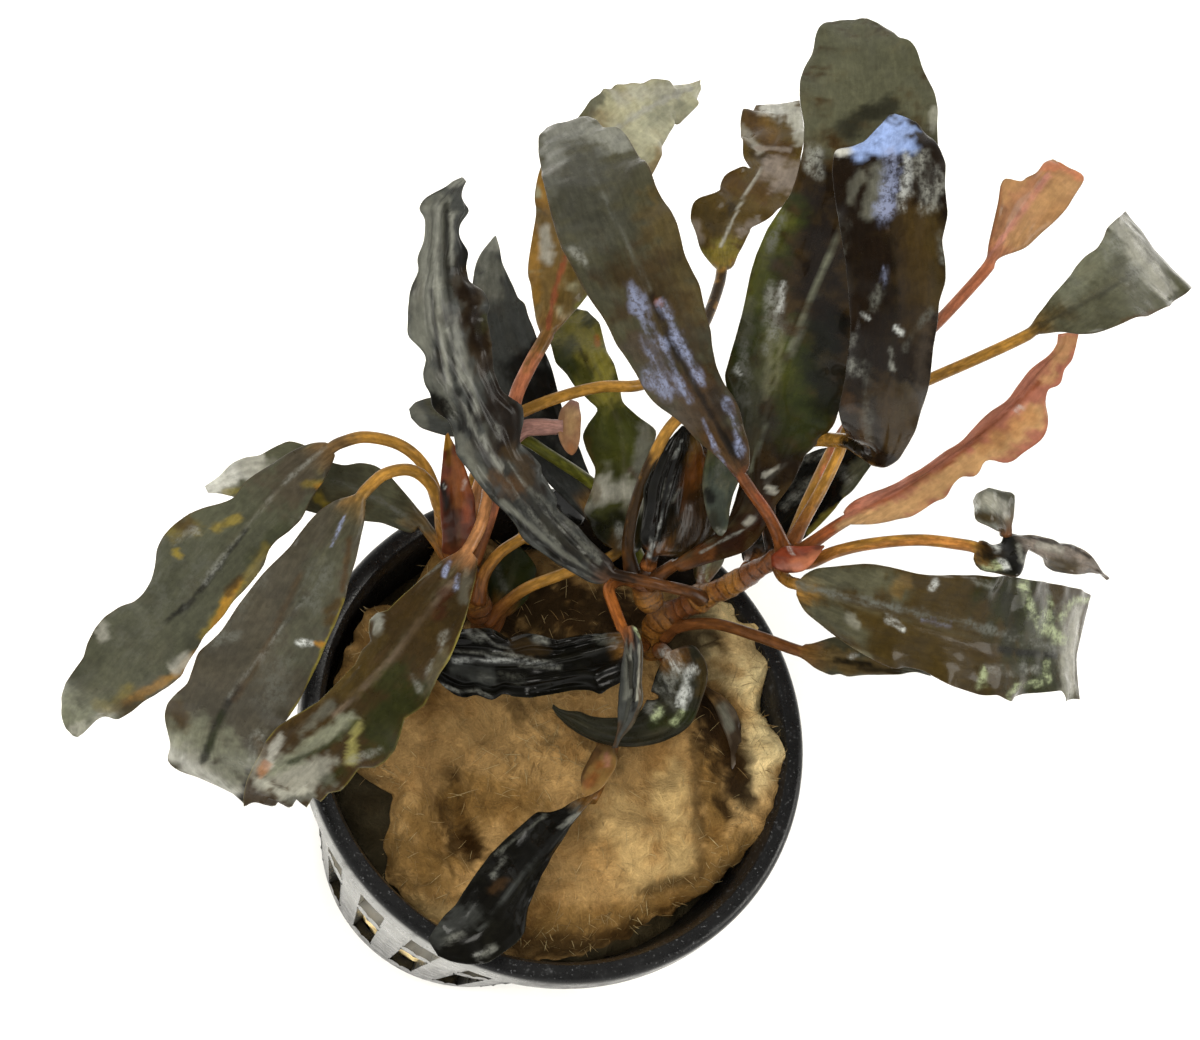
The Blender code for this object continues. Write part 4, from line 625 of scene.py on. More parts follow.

# Patches of tone and painted sheen, with painted shade and light among them: picture line, spread round it
# in picture points, shade and strength
# Glare shades go to the painted sheen, as painted reflections and glints; the other shades are laid into
# the tint.
PATCHES = {
    "leaf_far_left": [
        ("330,450 290,480", 30, "brown_grey", 0.7), ("62,700 75,725 95,712", 16, "tip_grey", 0.9),
        ("72,732 100,722 112,712", 7, "pale_end", 0.7),
        ("265,548 252,575 228,598 207,635", 6, "yellow", 0.55),
        ("240,582 226,600 214,628", 4, "gold", 0.7), ("240,578 228,590", 5, "spot_brown", 0.8),
        ("195,655 180,672 150,690 125,702", 4.5, "gold", 0.5), ("185,660 176,668", 7, "chip", 0.7),
        ("172,532 195,528", 8, "yellow", 0.35), ("176,540 196,530", 5, "glare_grey", 0.8),
        ("176,552 180,556", 3, "yellow", 0.8), ("180,525 190,527", 7, "spot_brown", 0.8),
        ("215,528 238,518", 4, "yellow", 0.5), ("98,705 112,708 128,688", 6, "yellow", 0.4),
        ("120,708 132,704", 8, "spot_brown", 0.7), ("305,485 322,482", 4, "yellow", 0.4),
        ("320,486 328,486", 4, "gold", 0.7), ("245,600 262,565", 9, "haze", 0.4),
        ("325,447 280,487 230,548", 2.4, "glare_grey", 0.6), ("232,545 205,582", 3, "glare_grey", 0.75),
        ("248,528 190,603 165,622", 2.6, "soot", 0.85), ("160,540 152,580 110,612", 9, "glare_dim", 0.5),
        ("100,625 104,636", 6, "chip", 0.6), ("150,640 120,665 100,690", 22, "grey_green", 0.6),
        ("285,525 250,560", 6, "dark_green", 0.4), ("200,560 160,600 130,650", 20, "glare_dim", 0.35)],
    "leaf_left_middle": [
        ("358,505 345,530", 16, "olive", 0.6), ("330,560 300,650", 20, "grey_olive", 0.7),
        ("310,600 322,570", 12, "glare_dim", 0.7),
        ("344,600 327,640 304,695 290,714", 1.8, "yellow_edge", 0.9),
        ("350,540 342,590", 3, "brown_edge", 0.7), ("178,745 205,770 240,795", 14, "pale_end", 0.95),
        ("172,752 200,775 236,797", 7, "veil", 0.9), ("200,735 245,770", 18, "tip_grey", 0.75),
        ("170,702 178,745", 8, "tip_grey", 0.6), ("172,708 180,722", 9, "spot_brown", 0.9),
        ("250,782 246,797", 8.5, "dark_brown", 1.0), ("345,515 331,547", 1.3, "glare_blue", 0.9),
        ("305,595 275,637 248,672 228,698", 2.2, "glare_grey", 0.5),
        ("300,603 272,642 246,677", 1.6, "deep_olive", 0.6), ("238,688 215,725 203,760", 4, "soot", 0.8),
        ("222,712 208,750", 3, "dark_green", 0.8), ("300,575 270,640 235,700", 3, "brown_edge", 0.5),
        ("205,645 235,632", 7, "glare_dim", 0.8), ("250,745 262,730 252,760", 6, "glare_grey", 0.6),
        ("258,740 263,762", 4, "spot_brown", 0.8), ("330,612 338,605 330,620", 6, "spot_brown", 0.8),
        ("299,643 312,644", 3, "glare_white", 1.0), ("315,643 322,644", 2.4, "gold", 0.9),
        ("262,575 230,620", 9, "glare_dim", 0.5), ("285,650 270,700", 14, "glare_dim", 0.5)],
    "leaf_left_inner": [
        ("445,605 400,665 345,718", 26, "umber_dark", 0.7), ("467,572 463,600", 5, "haze", 0.4),
        ("440,565 415,583", 1.4, "glare_grey", 0.4), ("449,562 444,576", 2.6, "glare_blue", 0.9),
        ("458,576 456,588", 2.4, "glare_blue", 0.9),
        ("452,582 440,597 415,628 395,655 360,690 335,715", 3.4, "rib_grey", 0.8),
        ("446,594 436,616", 6, "maroon", 0.6),
        ("478,575 471,605 456,645 439,682", 1.5, "yellow_edge", 0.85),
        ("425,610 400,680", 11, "umber", 0.7), ("445,650 425,690", 6, "olive_rib", 0.4),
        ("446,632 440,650", 4, "glare_grey", 0.6), ("432,660 426,674", 3, "glare_grey", 0.55),
        ("412,676 420,690", 3.4, "glare_grey", 0.5), ("372,617 380,613 376,632", 4.5, "slate_pale", 0.9),
        ("400,690 380,735", 22, "dark_green", 0.8), ("375,645 345,690", 12, "bronze", 0.8),
        ("350,665 318,700", 8, "brown_olive", 0.7), ("268,765 290,778 320,772", 16, "pale_end", 0.7),
        ("262,785 290,797 310,793", 7, "pale_end", 0.9), ("350,720 300,755 268,770", 8, "tip_grey", 0.9),
        ("330,705 300,730", 6, "haze", 0.6), ("365,755 350,762 380,750", 4, "glare_grey", 0.5),
        ("325,782 340,772", 7, "dark_green", 0.7), ("290,802 312,796", 4, "deep_olive", 0.7),
        ("357,725 352,745 351,762", 5, "olive_light", 0.8),
        ("355,722 330,745 290,762", 3, "dark_green", 0.8),
        ("285,725 278,745 265,752", 8, "spot_brown", 0.8), ("280,738 268,765", 4.5, "chip", 0.9),
        ("305,715 290,735", 6, "umber", 0.8), ("265,765 262,772", 5, "orange", 0.6),
        ("270,790 275,797", 3.5, "spot_brown", 0.8)],
    "leaf_left_behind": [
        ("206,488 235,470 250,465", 14, "veil", 1.0), ("250,462 280,480", 12, "pale_end", 0.7),
        ("225,492 245,490", 4, "yellow_edge", 0.7), ("320,500 350,505", 14, "bronze", 0.5),
        ("330,478 380,500 425,530", 3, "glare_dim", 0.9), ("400,500 425,525", 14, "olive", 0.8),
        ("340,470 380,480", 12, "olive", 0.6), ("318,498 332,510", 5, "yellow", 0.6)],
    # The wavy leaf's pale slate streaks are painted reflections on its pleats.
    "leaf_long_wavy": [
        ("432,215 427,280 432,330", 15, "slate_light", 0.85), ("442,200 435,230", 10, "slate_light", 0.9),
        ("438,205 435,260 440,330 449,385", 3, "slate_pale", 0.8),
        ("446,205 446,260 450,300", 3, "deep_olive", 0.8),
        ("431,290 438,350 442,390", 2.4, "near_black", 0.8), ("452,215 452,262", 3, "slate_pale", 0.8),
        ("462,245 462,270", 7, "soot", 0.9), ("468,285 475,320 484,360", 12, "umber", 0.95),
        ("466,282 480,340", 6, "dark_brown", 0.9), ("484,318 480,330", 5, "fresh_green", 0.6),
        ("415,300 425,345", 8, "slate_light", 0.5), ("452,320 466,365 476,410", 4, "slate_pale", 0.6),
        ("414,310 425,365 440,392", 9, "slate_light", 0.7),
        ("426,210 424,260 430,320", 3, "slate_pale", 0.5), ("444,400 440,430", 6, "soot", 0.8),
        ("450,330 462,380", 3, "slate_pale", 0.7), ("436,400 450,412", 9, "near_black", 0.9),
        ("502,400 514,420 512,438", 10, "soot", 0.9), ("500,465 530,508 575,552", 17, "near_black", 0.75),
        ("492,455 520,500 562,546", 1.6, "glare_grey", 0.9),
        ("508,462 545,512 584,553", 1.4, "glare_grey", 0.8),
        ("500,480 535,528 560,552", 1.2, "glare_dim", 0.9), ("452,405 462,432", 3, "near_black", 0.9),
        ("466,420 480,450", 2.4, "near_black", 0.8), ("447,392 455,420", 5, "glare_dim", 0.8),
        ("470,395 468,425 490,462", 5, "near_black", 0.9), ("460,400 480,445", 3, "slate_pale", 0.8),
        ("460,440 482,478", 6, "slate_light", 0.9), ("482,438 500,468", 5, "slate_pale", 0.9),
        ("470,430 495,470", 2.6, "near_black", 0.8), ("500,482 520,485", 11, "brown", 0.9),
        ("510,455 530,470", 10, "slate", 0.8), ("525,460 538,490", 7, "dark_brown", 0.8),
        ("503,503 540,535 590,575", 3, "slate_light", 0.95), ("515,500 560,545", 3, "glare_dim", 0.9),
        ("530,490 570,530 600,560", 4, "glare_dim", 0.9), ("510,515 555,555 600,580", 2.4, "soot", 0.9),
        ("540,505 580,548", 2.6, "soot", 0.9), ("545,520 560,540", 6, "deep_olive", 0.8),
        ("600,560 625,575", 12, "dark_brown", 0.9), ("450,184 464,179", 4, "slate_pale", 0.7),
        ("500,396 504,420 506,440", 19, "dark_brown", 1.0), ("496,425 498,440", 3, "glare_dim", 0.7),
        ("430,398 440,415", 7, "near_black", 0.9), ("468,290 478,340 486,365", 10, "dark_brown", 0.9),
        ("458,392 464,420", 4, "near_black", 0.8), ("512,455 530,480", 9, "umber", 0.8),
        ("447,210 449,300 455,380", 1.8, "near_black", 0.7)],
    "leaf_behind_wavy": [
        ("470,248 495,243", 13, "slate_pale", 0.9), ("478,262 492,268 486,295", 14, "slate_light", 0.9),
        ("510,330 520,370", 14, "slate", 0.6), ("512,275 530,305 548,345", 3, "yellow_edge", 0.5),
        ("525,370 560,430", 22, "soot", 0.95), ("540,350 556,380", 12, "soot", 0.9)],
    "leaf_pale_top": [
        ("548,330 545,250 560,180 600,150", 34, "gold_olive", 0.9),
        ("575,300 600,260", 18, "brown_olive", 0.8), ("536,300 534,230", 6, "gold", 0.4),
        ("545,230 547,258", 6, "chip", 0.75), ("545,205 542,180", 6, "gold", 0.5),
        ("566,255 555,290 548,328", 2.6, "pink_rib", 0.8),
        ("600,160 640,130 690,92", 26, "cream_green", 0.9),
        ("586,116 590,103 600,98", 8, "grey_green", 0.8), ("650,118 688,108", 9, "tip_grey", 0.55),
        ("612,132 640,112 690,88", 3, "pale_end", 0.95), ("660,150 655,172", 6, "gold_olive", 0.6),
        ("620,95 680,88", 8, "pale_end", 0.6), ("580,308 590,296", 5, "green_stalk", 0.7)],
    "leaf_centre": [
        ("548,135 580,128 620,140", 12, "slate_pale", 0.75), ("545,152 560,158", 7, "slate_pale", 0.8),
        ("570,170 600,230", 34, "slate", 0.4), ("660,215 690,300", 22, "brown_olive", 0.55),
        ("640,280 700,400 740,460", 34, "umber", 0.8), ("690,390 740,470", 24, "brown", 0.75),
        ("640,345 660,385 690,420", 16, "brown_grey", 0.7),
        ("648,320 672,365 690,400", 4, "glare_blue", 0.9),
        ("632,292 650,335 668,392", 7, "glare_blue", 0.75), ("638,300 645,320", 7, "glare_blue", 0.6),
        ("662,303 682,345 700,382", 5, "glare_blue", 0.9), ("648,372 668,395", 8, "glare_blue", 0.7),
        ("652,295 672,345 700,395 735,455", 3.4, "dark_brown", 0.9),
        ("590,170 650,290", 2.6, "glare_dim", 0.6), ("657,301 661,303", 3, "orange", 0.6),
        # Painted shadow on the stalk where it enters the crown
        ("744,476 752,494 764,516 776,540", 8, "stalk_shade", 0.9),
        ("703,420 714,446", 2.2, "glare_blue", 0.9), ("714,448 726,466 735,480", 2.4, "glare_blue", 0.8),
        ("715,395 740,460", 8, "near_black", 0.6), ("726,400 736,428 742,455", 4, "glare_blue", 0.9),
        ("574,252 585,262", 5, "glare_grey", 0.8), ("560,285 600,330", 8, "olive", 0.5),
        ("560,150 545,200", 8, "slate_light", 0.4)],
    "leaf_top_right": [
        ("845,50 900,60 880,105 850,95", 50, "olive_top", 1.0), ("805,90 815,150", 18, "grey_green", 0.7),
        ("930,90 935,140", 14, "grey_green", 0.8), ("845,130 870,114 890,108", 10, "deep_olive", 0.95),
        ("812,150 815,170", 8, "glare_grey", 0.8), ("800,350 815,420", 18, "moss_dark", 0.9),
        ("785,210 770,250", 5, "glare_dim", 0.8), ("816,180 824,330", 22, "dark_brown", 1.0),
        ("783,205 765,255 748,320 745,400", 21, "moss_dark", 0.8),
        ("778,215 760,265 750,300", 12, "moss", 0.7), ("800,150 806,175", 8, "umber", 0.6),
        ("770,292 776,320 768,350", 7, "glare_grey", 0.8), ("783,284 780,312", 3, "glare_white", 0.8),
        ("768,320 785,330", 7, "glare_grey", 0.5), ("770,335 775,350 790,400", 18, "fresh_green", 0.75),
        ("760,280 748,350", 12, "moss_dark", 0.5), ("771,332 766,398", 4, "pale_olive", 0.35),
        ("782,330 776,388", 3, "pale_olive", 0.3),
        ("850,215 826,265 805,320 785,380 748,475", 1.7, "haze", 0.9),
        ("815,340 820,400", 20, "dark_green", 0.7), ("750,410 790,450", 18, "deep_olive", 0.7),
        ("738,370 742,375", 5, "glare_white", 0.7), ("745,345 742,400", 6, "glare_dim", 0.8),
        ("765,482 785,465", 2.4, "chip", 0.7), ("700,530 750,490 790,460", 18, "shadow_brown", 0.7),
        ("750,300 745,330", 7, "grey_green", 0.6), ("935,110 932,130", 4, "pale_end", 0.5),
        ("830,330 825,400", 20, "near_black", 0.8), ("790,400 800,440", 16, "moss_dark", 0.7),
        ("762,350 752,400 750,440", 10, "grey_green", 0.45),
        ("842,228 815,290 790,350 768,410 750,472", 1.5, "tip_grey", 0.9),
        ("700,560 735,540 762,510", 14, "bark_dark", 0.9), ("690,562 710,550", 8, "brown_stalk", 0.7),
        ("770,480 800,462", 12, "dark_brown", 0.7), ("765,475 778,467", 2.4, "chip", 0.9),
        ("768,487 775,492", 2.6, "chip", 0.9), ("700,553 718,543 745,529", 1.3, "glare_grey", 0.8),
        ("746,524 752,518", 4, "chip", 0.7)],
    "leaf_top_right_front": [
        ("851,440 863,452 878,461", 9, "dark_brown", 0.95), ("862,150 860,162", 3, "near_black", 0.8),
        ("905,155 908,175 900,206", 6, "glare_white", 0.5), ("838,151 853,146", 6, "veil", 0.9),
        ("862,150 872,160", 4, "dark_brown", 0.9), ("893,158 890,190 884,212", 10, "glare_blue", 0.75),
        ("862,176 850,198", 6, "haze", 0.6), ("878,170 868,212", 9, "haze", 0.7),
        ("922,160 928,203", 9, "glare_grey", 0.8), ("935,170 940,190", 5, "glare_grey", 0.8),
        ("840,225 832,260", 9, "glare_dim", 0.5), ("920,225 935,290", 20, "bronze", 0.8),
        ("905,210 915,330", 16, "umber", 0.6), ("885,268 884,284", 3.4, "glare_blue", 0.9),
        ("880,288 872,308", 5, "glare_dim", 0.8), ("862,313 868,318", 3, "glare_white", 0.85),
        ("848,345 853,338", 5, "glare_grey", 0.7), ("850,365 855,372", 7, "glare_grey", 0.7),
        ("896,328 902,334", 3, "glare_white", 0.8), ("890,350 893,368", 3.4, "glare_grey", 0.95),
        ("870,400 868,440", 12, "umber", 0.8), ("888,400 890,440", 12, "brown", 0.5),
        ("940,235 942,262", 4, "glare_dim", 0.8), ("866,365 868,440", 5, "glare_dim", 0.5),
        ("905,390 900,440", 14, "bronze", 0.7), ("848,400 862,440", 9, "brown", 0.6),
        ("880,340 880,450", 4, "dark_brown", 0.9), ("925,330 920,400", 9, "brown_grey", 0.4),
        ("930,312 915,330 905,350", 4, "glare_dim", 0.6),
        ("776,556 769,524 771,486 782,462", 12, "soot", 0.95), ("816,440 842,440", 8, "brown_stalk", 0.9),
        ("848,420 858,452 882,462", 9, "dark_brown", 0.9), ("900,450 915,410", 8, "umber", 0.8),
        ("885,395 895,430", 18, "umber", 0.8), ("872,400 878,460", 5, "dark_brown", 0.8),
        # The blue at this leaf's tip is a painted reflection of the sky.
        ("862,146 882,132 903,126", 11, "sky", 1.0), ("880,145 908,146", 9, "sky", 1.0),
        ("804,440 836,441", 10, "gold_stalk", 1.0), ("846,443 858,450", 6, "dark_brown", 1.0)],
    "leaf_young_upper": [
        ("838,395 818,460 788,548", 8, "gold_stalk", 0.9),
        ("992,250 1015,215 1035,185", 12, "young_rose", 0.4),
        ("1010,235 1040,200 1075,180", 9, "young_tan", 0.5),
        ("990,255 1030,200 1048,175", 2.6, "pink_line", 0.9),
        ("1045,167 1062,165 1085,177", 5, "salmon_stalk", 0.8), ("988,250 1000,190", 4, "red_edge", 0.4),
        ("836,395 806,470 788,545", 9, "gold_stalk", 0.95)],
    "leaf_grey_right": [
        ("1035,325 1062,312", 12, "bronze", 0.7), ("1070,290 1110,245", 14, "tip_grey", 0.5),
        ("1120,225 1140,255 1165,290", 8, "pale_end", 0.85), ("1118,240 1140,275", 14, "glare_grey", 0.6),
        ("1125,322 1160,312", 4, "brown", 0.6), ("1060,322 1110,322", 9, "olive", 0.5),
        ("1040,325 1100,295 1150,262", 2.6, "deep_olive", 0.5)],
    "leaf_young_folded": [
        ("850,524 900,511 940,485 975,460 1010,436 1036,414", 12, "young_tan", 1.0),
        ("860,520 900,512 915,503", 6, "young_tan", 0.9), ("985,445 1030,415", 8, "orange", 0.35),
        ("1000,412 1022,400", 6, "pink_line", 0.6), ("1016,412 1020,408", 2.6, "glare_white", 0.9),
        ("1045,378 1060,355 1070,340", 8, "young_tan", 0.7), ("905,478 900,485", 3, "pink_line", 0.8),
        ("930,462 940,456", 4, "pink_line", 0.7), ("960,440 1000,405 1045,362", 8, "young_rose", 0.8),
        ("835,520 900,494 950,462 1000,420 1040,382", 2.2, "red_edge", 0.85),
        ("845,515 870,500", 5, "young_rose", 0.7)],
    "leaf_crumpled_right": [
        ("828,562 870,550 905,543 940,541 968,546", 6, "tan_stalk", 0.9),
        ("980,545 1000,550", 8, "brown", 0.5), ("985,568 1000,566", 4, "glare_green", 0.9),
        ("975,560 990,556", 4, "bronze", 0.8), ("990,540 998,548", 4, "glare_white", 0.9),
        ("1008,540 1020,570", 9, "soot", 0.9), ("1002,562 1006,568", 3, "glare_white", 0.9),
        ("1032,545 1070,555 1108,575", 14, "mushroom", 1.0), ("990,548 1020,556", 14, "near_black", 0.8),
        ("1040,545 1060,550", 4, "chip", 0.6), ("1055,562 1075,566", 7, "bronze", 0.9),
        ("1030,537 1070,545 1090,558", 2, "dark_brown", 0.8), ("1098,570 1108,578", 4, "brown", 0.8),
        ("1018,545 1022,560", 3, "slate_pale", 0.8)],
    "leaf_curled_right": [
        ("980,498 995,505", 9, "pale_end", 0.9), ("1000,493 1012,498", 4, "olive", 0.9),
        ("978,514 992,518", 5, "bronze", 0.9), ("998,518 1003,528", 4, "bronze", 0.8),
        ("975,500 976,510", 4, "glare_white", 0.9), ("1004,505 1006,515", 4, "chip", 0.8)],
    "leaf_big_right": [
        ("880,590 960,600 1015,612", 15, "gold_brown", 0.5),
        ("870,636 920,655 985,655", 13, "gold_brown", 0.6),
        ("810,578 870,580 900,590", 14, "grey_green", 0.8), ("820,610 860,635", 12, "grey_green", 0.8),
        ("930,600 995,615", 22, "bronze", 0.95), ("890,640 980,672", 20, "bronze", 0.95),
        ("800,585 870,603 950,620 1000,632 1060,650", 4.5, "glare_dim", 0.95),
        ("925,617 950,622", 5, "glare_blue", 0.5), ("1000,634 1060,650", 5, "glare_grey", 0.5),
        ("1012,590 1035,640 1045,680", 32, "dark_green", 0.85),
        ("1075,612 1066,650 1068,690", 8, "pale_end", 0.7), ("888,620 903,628", 3.2, "glare_white", 0.9),
        ("931,588 936,582", 3.6, "glare_white", 0.8), ("850,618 858,626", 4, "chip", 0.3),
        ("893,590 905,582", 7, "gold_olive", 0.5), ("1022,585 1035,615 1045,632", 5, "glare_green", 0.95),
        ("1050,600 1045,625 1062,640", 6, "glare_green", 0.9),
        ("1060,620 1075,600 1088,600", 4, "glare_green", 0.95),
        ("1045,590 1062,600 1052,615", 3, "glare_grey", 0.7), ("975,580 990,585", 4, "glare_grey", 0.7),
        ("990,668 1015,672 1040,668", 5, "glare_grey", 0.8),
        ("1045,665 1048,680", 4.5, "glare_green", 1.0),
        ("1010,697 1018,685 1040,682", 3.5, "glare_green", 0.9),
        ("978,688 985,670", 4, "glare_green", 0.8), ("1000,650 1055,655", 3.5, "soot", 0.8),
        ("1078,608 1073,650 1072,690", 3, "chip", 0.8), ("1010,600 1012,640", 8, "deep_olive", 0.6),
        ("835,640 870,658", 3, "pale_olive", 0.35)],
    "leaf_under_big_right": [
        ("810,655 850,664 890,668", 12, "gold_olive", 0.45), ("835,660 870,664", 2.4, "near_black", 0.9),
        ("850,657 858,655", 2, "glare_white", 0.9), ("860,668 900,672", 3, "soot", 0.7)],
    "leaf_top_brown": [
        ("705,262 728,250", 12, "yellow_edge", 0.8), ("722,278 712,302 702,330", 8, "soot", 0.9),
        ("700,210 715,225", 10, "bronze", 0.8), ("730,180 760,190", 12, "brown", 0.6),
        ("772,168 795,180", 14, "mushroom", 0.6), ("762,168 745,195 735,215 721,246", 1.3, "chip", 0.8),
        ("755,150 770,160", 9, "soot", 0.6), ("750,120 765,140 780,150", 12, "brown", 0.7),
        ("770,108 790,108 802,125", 9, "veil", 0.95), ("790,105 802,140", 7, "pale_end", 0.8),
        ("742,128 760,150", 4, "chip", 0.5), ("733,205 730,212", 4, "dark_brown", 0.6),
        ("742,232 757,222", 5, "mushroom", 0.7), ("695,225 700,240", 5, "mushroom", 0.6),
        ("775,165 790,185", 11, "mushroom", 0.8), ("757,148 772,148 790,150", 2, "mushroom", 0.8),
        ("765,120 775,135", 6, "gold_olive", 0.6)],
    "leaf_green_centre": [
        ("562,325 590,345 605,390", 19, "lit_moss", 0.9), ("577,345 592,372", 2.4, "dark_brown", 0.8),
        ("597,338 598,344", 3, "orange", 0.7), ("570,345 562,360 588,375", 8, "dark_green", 0.8),
        ("600,420 625,440", 18, "fresh_green", 0.35), ("648,430 645,460", 10, "haze", 0.9),
        ("600,485 625,490 640,500", 13, "chip", 0.6), ("640,470 648,500", 7, "haze", 0.8),
        ("588,505 600,500", 9, "chip", 0.5), ("592,535 640,535", 22, "near_black", 0.8),
        ("618,528 625,545", 5, "glare_grey", 0.8), ("630,540 633,552", 3, "glare_white", 0.8),
        ("585,440 595,500", 5, "brown_olive", 0.5), ("630,470 655,495", 2.4, "brown_grey", 0.8)],
    "leaf_edge_on": [
        ("715,450 705,500 690,550", 22, "umber", 0.9),
        ("698,455 690,485 688,510", 10, "brown_glow", 0.85), ("684,455 694,445", 9, "gold_olive", 0.5),
        ("694,500 690,540", 13, "shadow_brown", 0.9), ("682,440 664,500 651,555", 9, "near_black", 1.0),
        ("682,440 666,500 653,550", 1.2, "glare_white", 0.8), ("676,450 658,505", 1, "glare_grey", 0.9),
        ("672,500 680,490", 2, "glare_grey", 0.9), ("652,540 650,555", 3, "glare_white", 0.8)],
    "leaf_black_in_pot": [
        ("470,634 480,640", 4, "glare_grey", 0.6), ("475,628 495,645 512,650", 1.6, "glare_grey", 0.9),
        ("535,638 545,640", 4, "glare_grey", 0.8), ("515,645 535,650", 9, "umber", 0.8),
        ("455,650 500,653 560,664", 1.8, "glare_grey", 1.0),
        ("455,660 500,660 555,665", 2, "glare_white", 0.7), ("460,668 490,676", 9, "slate", 0.8),
        ("482,676 494,680", 4, "glare_grey", 0.5),
        ("440,684 460,692 475,690 492,698", 1.6, "glare_grey", 0.95),
        ("520,665 560,668", 2, "glare_grey", 0.8), ("600,640 620,636", 6, "glare_dim", 0.8),
        ("500,675 520,680", 5, "glare_dim", 0.5), ("585,633 595,633", 1.8, "glare_white", 0.9)],
    "leaf_hooked_in_pot": [
        ("667,650 675,665", 8, "glare_white", 0.95), ("672,660 668,690", 8, "glare_grey", 0.85),
        ("690,670 680,705", 6, "glare_white", 0.85), ("684,648 688,660", 4, "brown", 0.9),
        ("700,665 704,690", 8, "bronze", 0.7), ("655,690 648,710", 5, "glare_grey", 0.8),
        ("660,708 655,718", 4, "glare_green", 1.0), ("680,712 675,722", 4, "glare_green", 1.0),
        ("665,695 678,712", 4, "glare_dim", 0.8), ("600,725 640,735", 9, "deep_olive", 0.7),
        ("655,725 690,715", 7, "dark_green", 0.6)],
    "leaf_narrow_in_pot": [
        ("631,645 629,705", 1.7, "slate_pale", 0.9), ("639,645 637,700", 1.3, "pale_end", 0.8),
        ("626,640 626,700", 1.4, "slate_light", 0.9), ("634,630 637,660 633,710", 1.4, "soot", 0.9),
        ("628,635 630,690", 1.2, "dark_brown", 0.8), ("634,624 640,636", 2.4, "glare_green", 0.9),
        ("618,725 614,745", 3, "brown", 0.8)],
    "leaf_thin_on_wool": [
        ("708,690 718,700", 6, "near_black", 0.8), ("737,725 738,755", 5, "shadow_brown", 0.8),
        ("722,706 728,725", 5, "haze", 0.8), ("740,768 748,785", 6, "mushroom", 0.8),
        ("740,775 750,785", 6, "glare_blue", 0.6)],
    "leaf_over_rim": [
        ("575,803 590,797", 8, "glare_dim", 0.5), ("545,815 520,835 495,855", 2, "glare_dim", 0.8),
        ("504,858 494,876", 3, "glare_grey", 0.5), ("505,880 492,890", 5, "brown", 0.5),
        ("580,806 545,850 515,885 480,930", 1.6, "slate", 0.8), ("438,932 470,912", 11, "slate", 0.6),
        ("446,942 462,935", 4, "glare_grey", 0.5), ("478,956 495,948", 4, "glare_grey", 0.6),
        ("560,830 545,855", 8, "soot", 0.8), ("470,890 500,915", 9, "near_black", 0.7),
        ("580,812 560,828", 2.4, "glare_grey", 0.6)],
    "leaf_hanging_centre": [
        ("632,575 628,545 635,505 648,465", 12, "shadow_brown", 0.95),
        ("720,440 722,470", 16, "moss_dark", 0.85), ("720,485 719,520", 14, "teal_grey", 0.85),
        ("712,518 714,525", 7, "deep_olive", 0.9), ("707,492 710,498", 4.5, "near_black", 0.9),
        ("722,455 720,475", 5, "glare_dim", 0.5), ("718,530 726,532", 3, "glare_grey", 0.8)],
    "leaf_dark_behind_right": [
        ("862,465 850,492", 9, "olive_top", 0.8), ("850,497 830,515 812,532", 4, "yellow_edge", 0.8),
        ("800,460 830,452", 5, "glare_grey", 0.6), ("805,485 825,475", 6, "glare_dim", 0.9),
        ("785,505 800,495", 5, "glare_grey", 0.6), ("840,470 850,480", 6, "glare_grey", 0.6),
        ("770,470 785,480", 6, "chip", 0.35), ("745,548 757,515 775,500", 12, "near_black", 0.8)],
    "leaf_round_behind_left": [
        ("412,405 420,425", 7, "slate_light", 0.6), ("430,400 440,412", 7, "olive", 0.7)],
    "leaf_green_behind_stalks": [
        ("497,565 505,590", 4, "glare_dim", 0.8)],
    "leaf_striped_small": [
        ("690,562 688,582", 3, "glare_white", 0.8), ("702,558 701,582", 3, "glare_white", 0.9),
        ("708,560 707,582", 2, "glare_green", 0.8), ("696,560 695,582", 1.6, "dark_green", 0.8)],
    "crown_sheath_left": [
        ("443,486 447,503", 5, "soot", 1.0), ("450,510 454,545", 5, "dark_brown", 0.6),
        ("462,470 468,520", 4, "red_stalk", 0.6), ("448,440 450,465", 4, "gold_olive", 0.7),
        ("444,486 445,488", 1.2, "glare_white", 0.9), ("447,436 446,448", 4, "gold", 0.7),
        ("456,460 460,500", 8, "papery", 0.7), ("465,480 463,490", 2, "glare_white", 0.5)],
    "crown_sheath_right": [
        ("765,560 790,556 805,548", 10, "crown_red", 0.9), ("795,566 822,556", 7, "salmon_stalk", 0.8),
        ("788,545 792,553", 1.8, "glare_white", 0.9), ("778,566 800,566", 3, "pink_line", 0.6)],
    "net_pot": [
        # A painted highlight on the near left wall
        ("315,815 322,850 345,890 392,930 450,960 530,985", 17, "paper_grey", 0.9)],
    "sheath_over_rim_leaf": [
        ("598,752 585,768 576,785", 4, "brown", 0.9), ("600,765 588,785", 4, "papery", 0.8),
        ("607,755 608,765", 3, "pink_line", 0.6)],
    "spathe": [
        ("573,410 570,430", 5, "wool_pale", 0.4), ("570,445 573,455", 4, "orange", 0.4)],
    # The plug's darker patches are mostly painted shade: in its creases, under the leaves and along the
    # wall.
    "rockwool_plug": [
        ("700,640 745,655 775,665", 34, "wool_cream", 1.0), ("762,700 772,745", 11, "wool_cream", 1.0),
        ("782,780 765,830 720,880", 16, "wool_tan", 0.9), ("715,662 738,672", 8, "wool_tan", 0.8),
        ("722,642 748,650", 12, "wool_tan", 0.55), ("453,775 464,820 474,858", 11, "wool_dark", 1.0),
        ("425,815 435,860", 18, "wool_brown", 0.9), ("445,800 455,850", 9, "wool_dark", 0.8),
        ("400,730 440,740 500,745", 36, "wool_tan", 0.7), ("475,800 520,800", 26, "wool_brown", 0.9),
